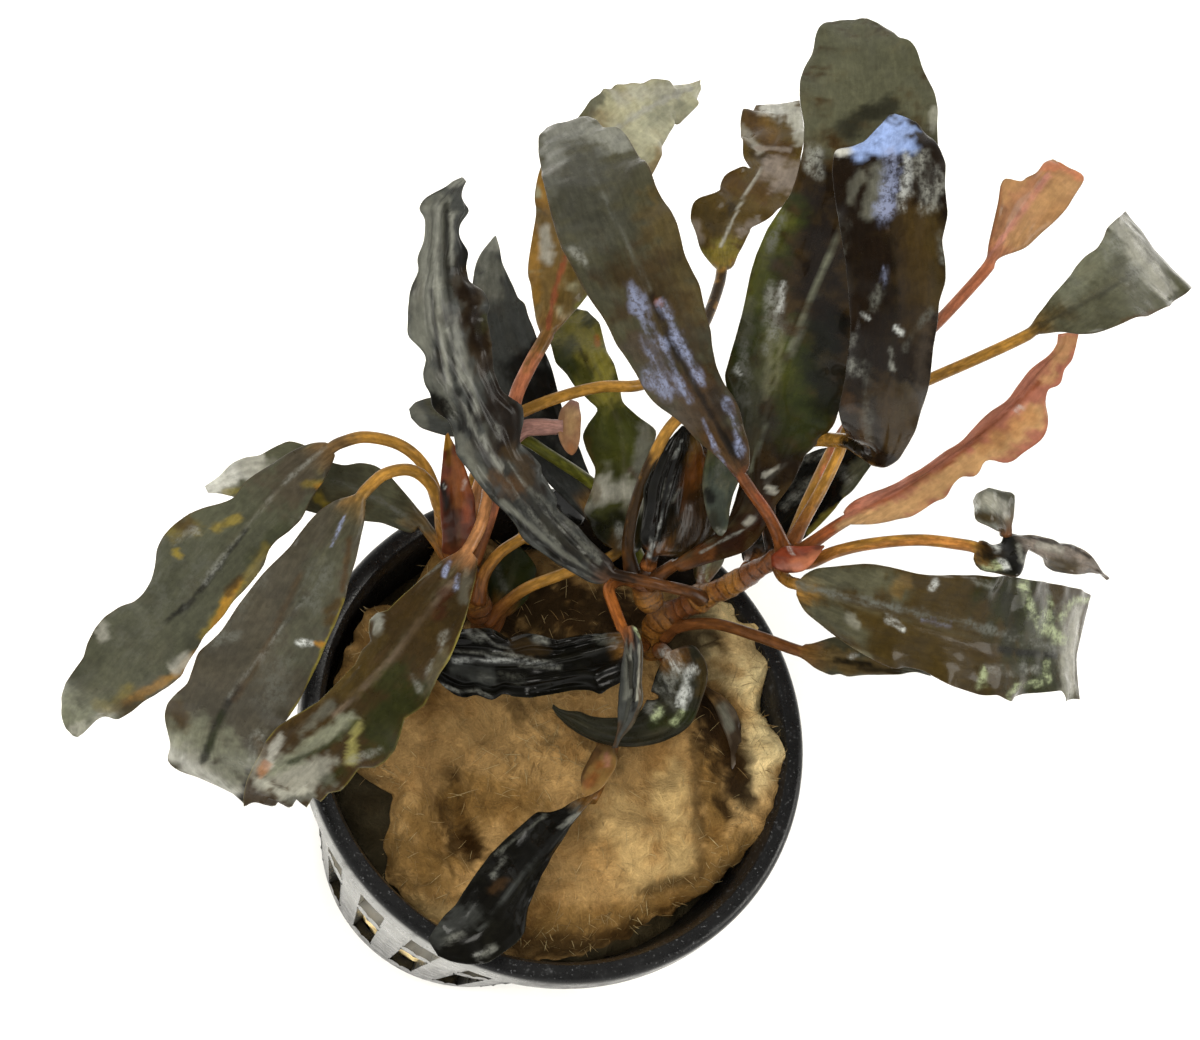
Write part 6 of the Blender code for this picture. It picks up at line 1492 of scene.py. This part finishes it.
def plastic_look():
    """Black plastic, scuffed and dusty at the lip."""
    g = Graph("pot_plastic")
    place_mm = g.millimetres()
    scuff = g.noise(place_mm, 0.6, 6.0, 0.72)
    speck = g.noise(place_mm, 3.8, 2.0, 0.6)
    scratch = g.noise(g.vector("MULTIPLY", place_mm, (0.5, 0.5, 5.0)), 1.1, 4.0, 0.65)
    worn = g.math("MULTIPLY", g.spread(scuff, 0.6, 0.75, 0.0, 0.8), g.attribute("lip"))
    dust = g.math("MULTIPLY", g.spread(speck, 0.62, 0.72, 0.0, 0.6), g.attribute("lip"))
    tint = g.blend(g.math("MAXIMUM", g.math("MULTIPLY", worn, 0.55), dust), g.attribute("tint", "Color"),
                   shade4("scuff_grey"))
    rough = g.math("ADD", g.spread(scuff, 0.35, 0.65, 0.22, 0.4), g.math("MULTIPLY", worn, 0.15))
    height = g.math("MULTIPLY_ADD", scratch, 0.4, g.math("MULTIPLY", speck, 0.5))
    return g.done(tint, rough, g.bump(height, 0.05, 0.7), Specular_IOR_Level=0.35)


def bark_look(name, second):
    """Ringed, patchy bark."""
    g = Graph(name)
    place_mm = g.millimetres()
    along = g.attribute("along")
    patches = g.noise(place_mm, 0.9, 4.0, 0.65)
    grain = g.noise(g.vector("MULTIPLY", place_mm, (3.0, 3.0, 0.9)), 1.6, 4.0, 0.65)
    rings = g.math("SINE", g.math("MULTIPLY_ADD", along, math.tau / 1.1, g.math("MULTIPLY", patches, 4.0)))
    ring_mark = g.spread(rings, 0.6, 1.0, 0.0, 1.0)
    bright = g.math("MULTIPLY", g.spread(patches, 0.3, 0.7, 0.6, 1.4),
                    g.spread(grain, 0.35, 0.7, 0.8, 1.25))
    bright = g.math("MULTIPLY_ADD", ring_mark, -0.25, bright)
    tint = g.blend(g.spread(patches, 0.5, 0.65, 0.0, 0.7), g.attribute("tint", "Color"), shade4(second))
    tint = g.vector("SCALE", tint, scale=bright)
    height = g.math("MULTIPLY_ADD", ring_mark, -0.6, g.math("MULTIPLY", grain, 0.8))
    return g.done(tint, g.spread(grain, 0.3, 0.7, 0.3, 0.6), g.bump(height, 0.15, 0.9), Coat_Weight=0.2,
                  Coat_Roughness=0.2)


def tube(name, path, radii, sides, tint, look, node):
    """A closed round tube along an array of points, with its own radius at each."""
    ahead = np.gradient(path, axis=0)
    ahead /= np.linalg.norm(ahead, axis=1)[:, None]
    right = np.cross(ahead[0], (0.3, -0.9, 0.2))
    rights = []
    for way in ahead:
        right = right - way * (right @ way)
        right = right / np.linalg.norm(right)
        rights.append(right)
    rights = np.array(rights)
    uppers = np.cross(rights, ahead)
    turns = np.linspace(0, math.tau, sides, endpoint=False)
    radii = np.broadcast_to(radii if radii.ndim == 2 else radii[:, None], (len(path), sides))
    points = (path[:, None, :] + (rights[:, None, :] * np.cos(turns)[:, None]
              + uppers[:, None, :] * np.sin(turns)[:, None]) * radii[..., None]).reshape(-1, 3)
    gone = np.concatenate([[0], np.cumsum(np.linalg.norm(np.diff(path, axis=0), axis=1))])
    extras = {"along": np.repeat(gone, sides), "side": np.tile(turns, len(path)),
              "blade": np.zeros(len(points)), "sheen": np.zeros((len(points), 4))}
    tint = np.repeat(tint, sides, 0)
    return make_mesh(name, points, skin(len(path), sides), tint, extras, look, node)


def make_stem(name, rows, rooted, seed, look):
    """A creeping stem with knobs where leaves have been."""
    points = [tuple(place(*row)) for row in rows]
    if rooted:
        points.insert(0, tuple(Vector(points[0]) - Vector((0, 0, RHIZOME_DEPTH))))
    at, length = curve_through(points)
    count = round(length / STEM_STEP)
    path = np.array([at(k / count)[:3] for k in range(count + 1)])
    gone = np.linspace(0, length, count + 1)
    sides = STEM_SIDES
    taper = 1 - 0.45 * (gone / length) ** 6
    knob = 1 + 0.1 * np.sin(2.4 * gone / 2.2) + 0.05 * np.abs(np.sin(math.pi * gone / 1.3)) ** 6
    turns = np.linspace(0, math.tau, sides, endpoint=False)
    unrolled = np.stack([np.repeat(gone, sides), np.tile(np.cos(turns), count + 1) * 1.5,
                         np.tile(np.sin(turns), count + 1) * 1.5], 1)
    lumps = drift(unrolled, 2.6, seed).reshape(count + 1, sides)
    radii = RHIZOME_RADIUS * (knob * taper)[:, None] * (1 + 0.09 * lumps)
    tint = mix(plain_tone("bark_red", count + 1), colour(SHADES["bark_gold"]),
               step_up(drift(path, 5, seed + 3), -0.4, 0.8))
    tube(name + "_bark", path, radii, sides, tint, look, name)


def make_flower_stalk(look):
    """The young flower's stalk, which thickens towards the spathe."""
    at, length = curve_through([tuple(place(*row)) for row in FLOWER_STALK])
    count = round(length / STATION_STEP)
    path = np.array([at(k / count)[:3] for k in range(count + 1)])
    path = np.vstack([path, path[-1] + (path[-1] - path[-2]) * 3])
    share = np.linspace(0, 1, len(path))
    swollen = step_up(share, 0.55, 0.8)
    radii = 0.5 + 0.32 * swollen - 0.1 * step_up(share, 0.93, 1)
    tint = mix(plain_tone("gold_stalk", len(path)), colour(SHADES["flower_pink"]), swollen)
    tube("flower_stalk_tube", path, radii, 20, tint, look, "flower_stalk")


def wool_edge(turns):
    """How far the plug's top edge falls short of the wall, for an array of directions."""
    short = 0.8 + 0.3 * np.sin(5 * turns + 1) + 0.22 * np.sin(9 * turns)
    circle = np.column_stack([np.cos(turns), np.sin(turns)]) * EDGE_NOISE_RADIUS
    short = short + 0.26 * drift(circle, 2.6, 78)
    for direction, depth, spread in PLUG_NOTCHES:
        away = (np.degrees(turns) - direction + 180) % 360 - 180
        short = short + depth * np.exp(-(away / spread) ** 2)
    return short


def wool_climb(x, y):
    """How far the plug's top climbs the wall on its high side."""
    turned = np.arctan2(y, x)
    height = np.interp(np.degrees(turned), *zip(*PLUG_CLIMB), period=360)
    circle = np.stack([np.cos(turned), np.sin(turned)], -1) * EDGE_NOISE_RADIUS
    height = height * (1 + 0.1 * drift(circle, 3.2, 77))
    return height * step_up(np.hypot(x, y), CLIMB_FROM, CLIMB_TO) ** 1.5


def wool_relief(x, y):
    """The lumps and folds of the plug's top."""
    relief = 0.5 * np.sin(0.42 * x + 0.8) * np.cos(0.36 * y) + 0.3 * np.sin(0.7 * y - 0.5 * x)
    for start, end, height, spread in PLUG_FOLDS:
        a, b = (np.array(place(*mark, PLUG_TOP - POT_HEIGHT))[:2] for mark in (start, end))
        line = b - a
        along = np.clip(((x - a[0]) * line[0] + (y - a[1]) * line[1]) / (line @ line), 0, 1)
        away = np.hypot(x - a[0] - line[0] * along, y - a[1] - line[1] * along)
        relief = relief + height * np.exp(-(away / spread) ** 2)
    return relief + wool_climb(x, y)


def wool_rings():
    """Rings of the plug's surface from its foot over its edge to its middle."""
    turns = np.linspace(0, math.tau, WOOL_COLUMNS, endpoint=False)
    edge = wool_edge(turns)
    ways = np.stack([np.cos(turns), np.sin(turns)], 1)
    shoulder = PLUG_TOP - PLUG_BEVEL
    rings = []
    for height in np.linspace(BASE_THICKNESS + 0.4, shoulder, WOOL_SIDE_RINGS):
        share = step_up(height, 36.7, shoulder)
        gap = PLUG_GAP * (1 - 1.7 * step_up(height, 33, 35))
        radius = wall_radius(height) - WALL - gap - share * edge
        rings.append(np.column_stack([ways * radius[:, None], np.full(WOOL_COLUMNS, height)]))
    for share in np.concatenate([np.linspace(1.0, 0.9, 8), np.linspace(0.885, 0.0, 58)]):
        drop = PLUG_BEVEL * float(np.clip((share - 0.86) / 0.14, 0, 1)) ** 2
        radius = (wall_radius(PLUG_TOP) - WALL - PLUG_GAP - edge) * share
        radius = radius + 0.17 * wool_climb(*(ways * radius[:, None]).T)
        flat = ways * np.maximum(radius, 0.03)[:, None]
        rings.append(np.column_stack([flat, PLUG_TOP - drop + wool_relief(flat[:, 0], flat[:, 1])]))
    return np.array(rings)


def wool_tones(points, on_top):
    """The plug's tints: tan on top, pale with painted light where it climbs the wall and on its side in the
    slots, and near black with painted shadow under the lip.
    """
    climb = wool_climb(points[:, 0], points[:, 1]) * on_top
    pale = step_up(climb, 1.8, 4.4) * step_up(points[:, 1], -9, -1) * (points[:, 0] > 0)
    # Painted light where the plug climbs the wall on the right: cream, half as bright again as the table's
    # cream
    tone = mix(plain_tone("wool_tan", len(points)), 1.5 * colour(SHADES["wool_cream"]), 0.8 * pale)
    tone = paint(tone, points, PATCHES["rockwool_plug"], 75)[0]
    # Painted light on the plug's side, seen through the slots: 2.2 times the table's cream
    tone = mix(tone, 2.2 * colour(SHADES["wool_cream"]), 0.85 * (1 - on_top))
    # Painted shadow: the side just under the lip is near black
    ledge_shadow = step_up(points[:, 2], 36.1, 36.8) * (1 - step_up(points[:, 2], 38.2, 39.6)) * (1 - on_top)
    return mix(tone, colour(SHADES["soot"]), 0.97 * ledge_shadow)


def make_wool(look):
    """The rockwool plug: felted lumps and ridges, with loose fibres over it."""
    rings = wool_rings()
    points = rings.reshape(-1, 3)
    on_top = np.repeat(np.arange(len(rings)) >= WOOL_SIDE_RINGS, WOOL_COLUMNS).astype(float)
    outward = points * (1, 1, 0) / np.maximum(np.hypot(points[:, 0], points[:, 1]), 1)[:, None]
    outward = np.where(on_top[:, None] > 0, np.array((0, 0, 1.0)), outward)
    stretched = points * (1.0, 0.35, 1.0) + 0.6 * drift(points, 9, 70)[:, None]
    rough = 0.2 * drift(points, 3.2, 71) + 0.13 * drift(points, 1.3, 72)
    rough = rough + 0.1 * np.abs(drift(stretched, 0.8, 73))
    valleys = 0.5 * np.maximum(drift(points, 7.5, 74), 0) + 0.25 * np.maximum(drift(points, 3.4, 76), 0)
    strength = np.where(on_top > 0, 1.0, 0.6)
    points = points + outward * ((rough - 0.12 - valleys * on_top) * strength)[:, None]
    make_mesh("rockwool_felt", points, skin(len(rings), WOOL_COLUMNS), wool_tones(points, on_top), {}, look,
              "rockwool_plug")
    make_fibres(rings, look)


def make_fibres(rings, look):
    """Loose fibres lying on the wool and standing out at its edge, in one mesh."""
    chance = np.random.default_rng(81)
    count, bits, sides = FIBRES, 7, 3
    at_edge = chance.random(count) < 0.55
    ring = np.where(at_edge, chance.integers(WOOL_SIDE_RINGS, WOOL_SIDE_RINGS + 10, count),
                    chance.integers(WOOL_SIDE_RINGS + 6, len(rings) - 1, count))
    column = chance.integers(0, rings.shape[1], count)
    start = rings[ring, column]
    radial = start * (1, 1, 0) / np.maximum(np.hypot(start[:, 0], start[:, 1]), 0.5)[:, None]
    around = np.column_stack([-radial[:, 1], radial[:, 0], np.zeros(count)])
    spin = chance.normal(0, 0.9, count)
    way = around * np.cos(spin)[:, None] + radial * np.sin(spin)[:, None]
    way[:, 2] += np.where(at_edge, chance.normal(0.25, 0.35, count), chance.normal(0.06, 0.12, count))
    bend = chance.normal(0, 0.16, (count, 3)) * (1, 1, 0.5)
    length = chance.uniform(0.7, 2.0, count) * np.where(at_edge, 0.7, 1.0)
    radius = chance.uniform(0.022, 0.045, count)
    share = np.linspace(0, 1, bits)
    path = (start[:, None, :] + way[:, None, :] * (share[None, :, None] - 0.3) * length[:, None, None]
            + bend[:, None, :] * (share ** 2)[None, :, None] * length[:, None, None])
    # Kept inside the wall, and close to the wool where they lie on it
    flat = np.hypot(path[..., 0], path[..., 1])
    wall = wall_radius(np.clip(path[..., 2], 0, POT_HEIGHT)) - WALL - 0.12
    path[..., :2] *= np.minimum(1, wall / np.maximum(flat, 0.1))[..., None]
    lying = ~at_edge
    surface = PLUG_TOP + wool_relief(path[lying, :, 0], path[lying, :, 1])
    above = surface + np.array([0.0, 0.1, 0.2, 0.25, 0.3, 0.3, 0.2])
    path[lying, :, 2] = np.where(flat[lying] < 20, above, path[lying, :, 2])
    corner = np.linspace(0, math.tau, sides, endpoint=False)
    thin = radius[:, None] * np.array([0.4, 1, 1, 1, 1, 0.8, 0.3])
    points = (path[:, :, None, :] + (around[:, None, None, :] * np.cos(corner)[:, None]
              + np.array((0, 0, 1.0)) * np.sin(corner)[:, None]) * thin[:, :, None, None]).reshape(-1, 3)
    one = skin(bits, sides)
    faces = [tuple(corner + k * bits * sides for corner in face) for k in range(count) for face in one]
    shade = np.repeat(chance.random(count), bits * sides)
    tone = mix(plain_tone("wool_tan", len(points)), colour(SHADES["wool_cream"]), shade)
    tone = tone * np.repeat(chance.uniform(0.65, 1.0, count), bits * sides)[:, None]
    make_mesh("rockwool_fibres", points, faces, tone, {}, look, "rockwool_plug")


def pot_levels():
    """The pot's levels from the middle of its base over the wall to its lip.

    Each has an outer radius and height, an inner radius and height, and whether slots follow it.
    """
    lip = POT_HEIGHT - LIP_DROP
    inner = wall_radius(lip) - WALL
    floor_edge = BASE_RADIUS - 0.5
    levels = [(0.01, 0, 0.01, BASE_THICKNESS, False), (2.5, 0, 2.5, BASE_THICKNESS, False),
              (BASE_DISC_RADIUS, 0, BASE_DISC_RADIUS, BASE_THICKNESS, True),
              (BASE_SLOT_OUTER, 0, BASE_SLOT_OUTER, BASE_THICKNESS, False),
              (floor_edge, 0, floor_edge - WALL, BASE_THICKNESS, False),
              (BASE_RADIUS + 0.02, 0.25, BASE_RADIUS - WALL, BASE_THICKNESS + 0.2, False)]
    for low, high in SLOT_HEIGHTS:
        levels.append((wall_radius(low), low, wall_radius(low) - WALL, low, True))
        levels.append((wall_radius(high), high, wall_radius(high) - WALL, high, False))
    levels.append((wall_radius(lip - 0.5), lip - 0.5, inner - 0.1, lip - 0.6, False))
    profile = [(wall_radius(lip) + 0.05, lip - 0.12), (RIM_RADIUS - 0.45, lip - 0.02),
               (RIM_RADIUS - 0.12, lip + 0.12), (RIM_RADIUS, lip + 0.45), (RIM_RADIUS, POT_HEIGHT - 0.75),
               (RIM_RADIUS - 0.12, POT_HEIGHT - 0.32), (RIM_RADIUS - 0.42, POT_HEIGHT - 0.07),
               (RIM_RADIUS - 0.85, POT_HEIGHT)]
    for (radius, height), back in zip(profile, np.linspace(0, 1, len(profile))):
        back_height = lip + (POT_HEIGHT - 0.3 - lip) * back
        levels.append((radius, height, inner + 0.75 * back ** 2, back_height, False))
    return levels


def pot_faces(slotted, columns):
    """Faces of the pot's outer and inner skin, closed at the lip and round the open slots."""
    rows = len(slotted)
    shift = rows * columns
    first, last = SLOT_OPEN
    faces = []
    for row in range(rows - 1):
        low, high = row * columns, (row + 1) * columns
        for column in range(columns):
            after = (column + 1) % columns
            a, b, c, d = low + column, low + after, high + after, high + column
            in_slot = column % SLOT_COLUMNS
            if not (slotted[row] and first <= in_slot < last):
                faces.append((a, d, c, b))
                faces.append((shift + a, shift + b, shift + c, shift + d))
                continue
            faces.append((a, b, b + shift, a + shift))
            faces.append((c, d, d + shift, c + shift))
            if in_slot == first:
                faces.append((d, a, a + shift, d + shift))
            if in_slot == last - 1:
                faces.append((b, c, c + shift, b + shift))
    top = (rows - 1) * columns
    for column in range(columns):
        after = (column + 1) % columns
        faces.append((top + column, shift + top + column, shift + top + after, top + after))
    faces.append(tuple(range(columns)))
    faces.append(tuple(shift + column for column in reversed(range(columns))))
    return faces


def make_pot(look):
    """The pot: slotted base and wall under a rolled lip, with soft edges."""
    columns = SLOTS * SLOT_COLUMNS
    turns = np.linspace(0, math.tau, columns, endpoint=False)
    ways = np.stack([np.cos(turns), np.sin(turns)], 1)
    levels = pot_levels()
    skins = []
    for k in (0, 2):
        radius, height = (np.array([level[j] for level in levels])[:, None, None] for j in (k, k + 1))
        skins.append(np.concatenate([ways * radius, np.broadcast_to(height, (len(levels), columns, 1))], 2))
    points = np.concatenate(skins).reshape(-1, 3)
    lip = POT_HEIGHT - LIP_DROP
    lip_share = step_up(points[:, 2], lip - 1, lip + 0.5)
    tone = mix(plain_tone("pot_black", len(points)), colour(SHADES["pot_grey"]), 0.5 * lip_share)
    # A painted highlight: the near left wall fades to grey, outside up to the lip's edge and inside as far
    # as the wool
    top = np.where(np.arange(len(points)) < len(levels) * columns, POT_HEIGHT - 0.6, 37)
    near = (points[:, :2] @ np.array(VIEW_BACK)[:2] > 0) & (points[:, 2] < top)
    glare_fade = near * step_up(points[:, 2], 8, 24) * (1 - step_up(points[:, 0], -7, 0))
    tone = mix(tone, paint(tone, points, PATCHES["net_pot"], 90)[0], glare_fade)
    pot = make_mesh("net_pot_shell", points, pot_faces([level[4] for level in levels], columns), tone,
                    {"lip": 0.25 + 0.75 * lip_share}, look, "net_pot")
    soften = pot.modifiers.new("soft_edges", "BEVEL")
    soften.width = 0.16 * MM
    soften.segments = 2
    soften.limit_method = "ANGLE"
    soften.angle_limit = math.radians(35)
    pot.modifiers.new("even_normals", "WEIGHTED_NORMAL")


def make_floor():
    """The pale floor that the pot stands on."""
    mesh = bpy.data.meshes.new("floor")
    reach = 3.0
    mesh.from_pydata([(-reach, -reach, 0), (reach, -reach, 0), (reach, reach, 0), (-reach, reach, 0)], [],
                     [(0, 1, 2, 3)])
    g = Graph("floor_paper")
    grain = g.noise(g.millimetres(), 0.4, 3.0)
    tint = g.vector("SCALE", (0.93, 0.93, 0.925), scale=g.spread(grain, 0.3, 0.7, 0.985, 1.0))
    mesh.materials.append(g.done(tint, 0.9, Specular_IOR_Level=0.1))
    floor = bpy.data.objects.new("floor", mesh)
    bpy.context.scene.collection.objects.link(floor)


def aim(item, at_mm):
    """Point an object at a place given in millimetres."""
    towards = Vector(at_mm) * MM - item.location
    item.rotation_euler = towards.to_track_quat("-Z", "Y").to_euler()


def make_lights():
    """A pale world and soft lamps."""
    world = bpy.data.worlds.new("soft_white")
    world.use_nodes = True
    tree = world.node_tree
    # Bright round the horizon and dim overhead, so that dark leaves aren't veiled
    height = tree.nodes.new("ShaderNodeSeparateXYZ")
    fade = tree.nodes.new("ShaderNodeMapRange")
    tree.links.new(tree.nodes.new("ShaderNodeTexCoord").outputs["Generated"], height.inputs[0])
    tree.links.new(height.outputs[2], fade.inputs["Value"])
    for socket, value in zip(("From Min", "From Max", "To Min", "To Max"), WORLD_FADE):
        fade.inputs[socket].default_value = value
    tree.links.new(fade.outputs[0], tree.nodes["Background"].inputs["Strength"])
    tree.nodes["Background"].inputs["Color"].default_value = (1.0, 0.99, 0.96, 1)
    bpy.context.scene.world = world
    for name, where, size, power, glossy in LIGHTS:
        light = bpy.data.lights.new(name, "AREA")
        light.shape = "DISK"
        light.size = size
        light.energy = power
        light.color = (1.0, 0.97, 0.9)
        item = bpy.data.objects.new(name, light)
        item.location = where
        item.visible_glossy = glossy
        aim(item, (0, 10, 50))
        bpy.context.scene.collection.objects.link(item)


def make_camera():
    """The camera at the picture's viewpoint."""
    lens = bpy.data.cameras.new("photo_view")
    lens.sensor_width = 36.0
    lens.lens = lens.sensor_width * VIEW_FOCAL / PICTURE_WIDTH
    lens.clip_start = 0.01
    camera = bpy.data.objects.new("photo_view", lens)
    bpy.context.scene.collection.objects.link(camera)
    turned = Matrix((VIEW_RIGHT, VIEW_UP, VIEW_BACK)).transposed().to_4x4()
    turned.translation = VIEWER * MM
    camera.matrix_world = turned
    bpy.context.scene.camera = camera


def main():
    """The whole scene: camera, light and floor, then the pot, the wool, the stems and the leaves."""
    bpy.context.scene.view_settings.view_transform = "Standard"
    make_camera()
    make_lights()
    make_floor()
    make_pot(plastic_look())
    make_wool(wool_look())
    bark = bark_look("rhizome_bark", "bark_dark")
    for seed, (name, rows) in enumerate(RHIZOMES.items()):
        make_stem(name, rows, True, seed + 20, bark)
    for seed, (name, rows) in enumerate(RHIZOME_FORK.items()):
        make_stem(name, rows, False, seed + 30, bark)
    looks = {key: leaf_look(key + "_look", **value) for key, value in LOOKS.items()}
    for seed, (name, leaf) in enumerate({**LEAVES, **SHEATHS}.items()):
        whole = {**PLAIN_LEAF, **STYLES[leaf["finish"]], **leaf, **DETAILS.get(name, {})}
        make_leaf(name, whole, seed, looks[whole["look"]])
    make_flower_stalk(looks["young"])


main()
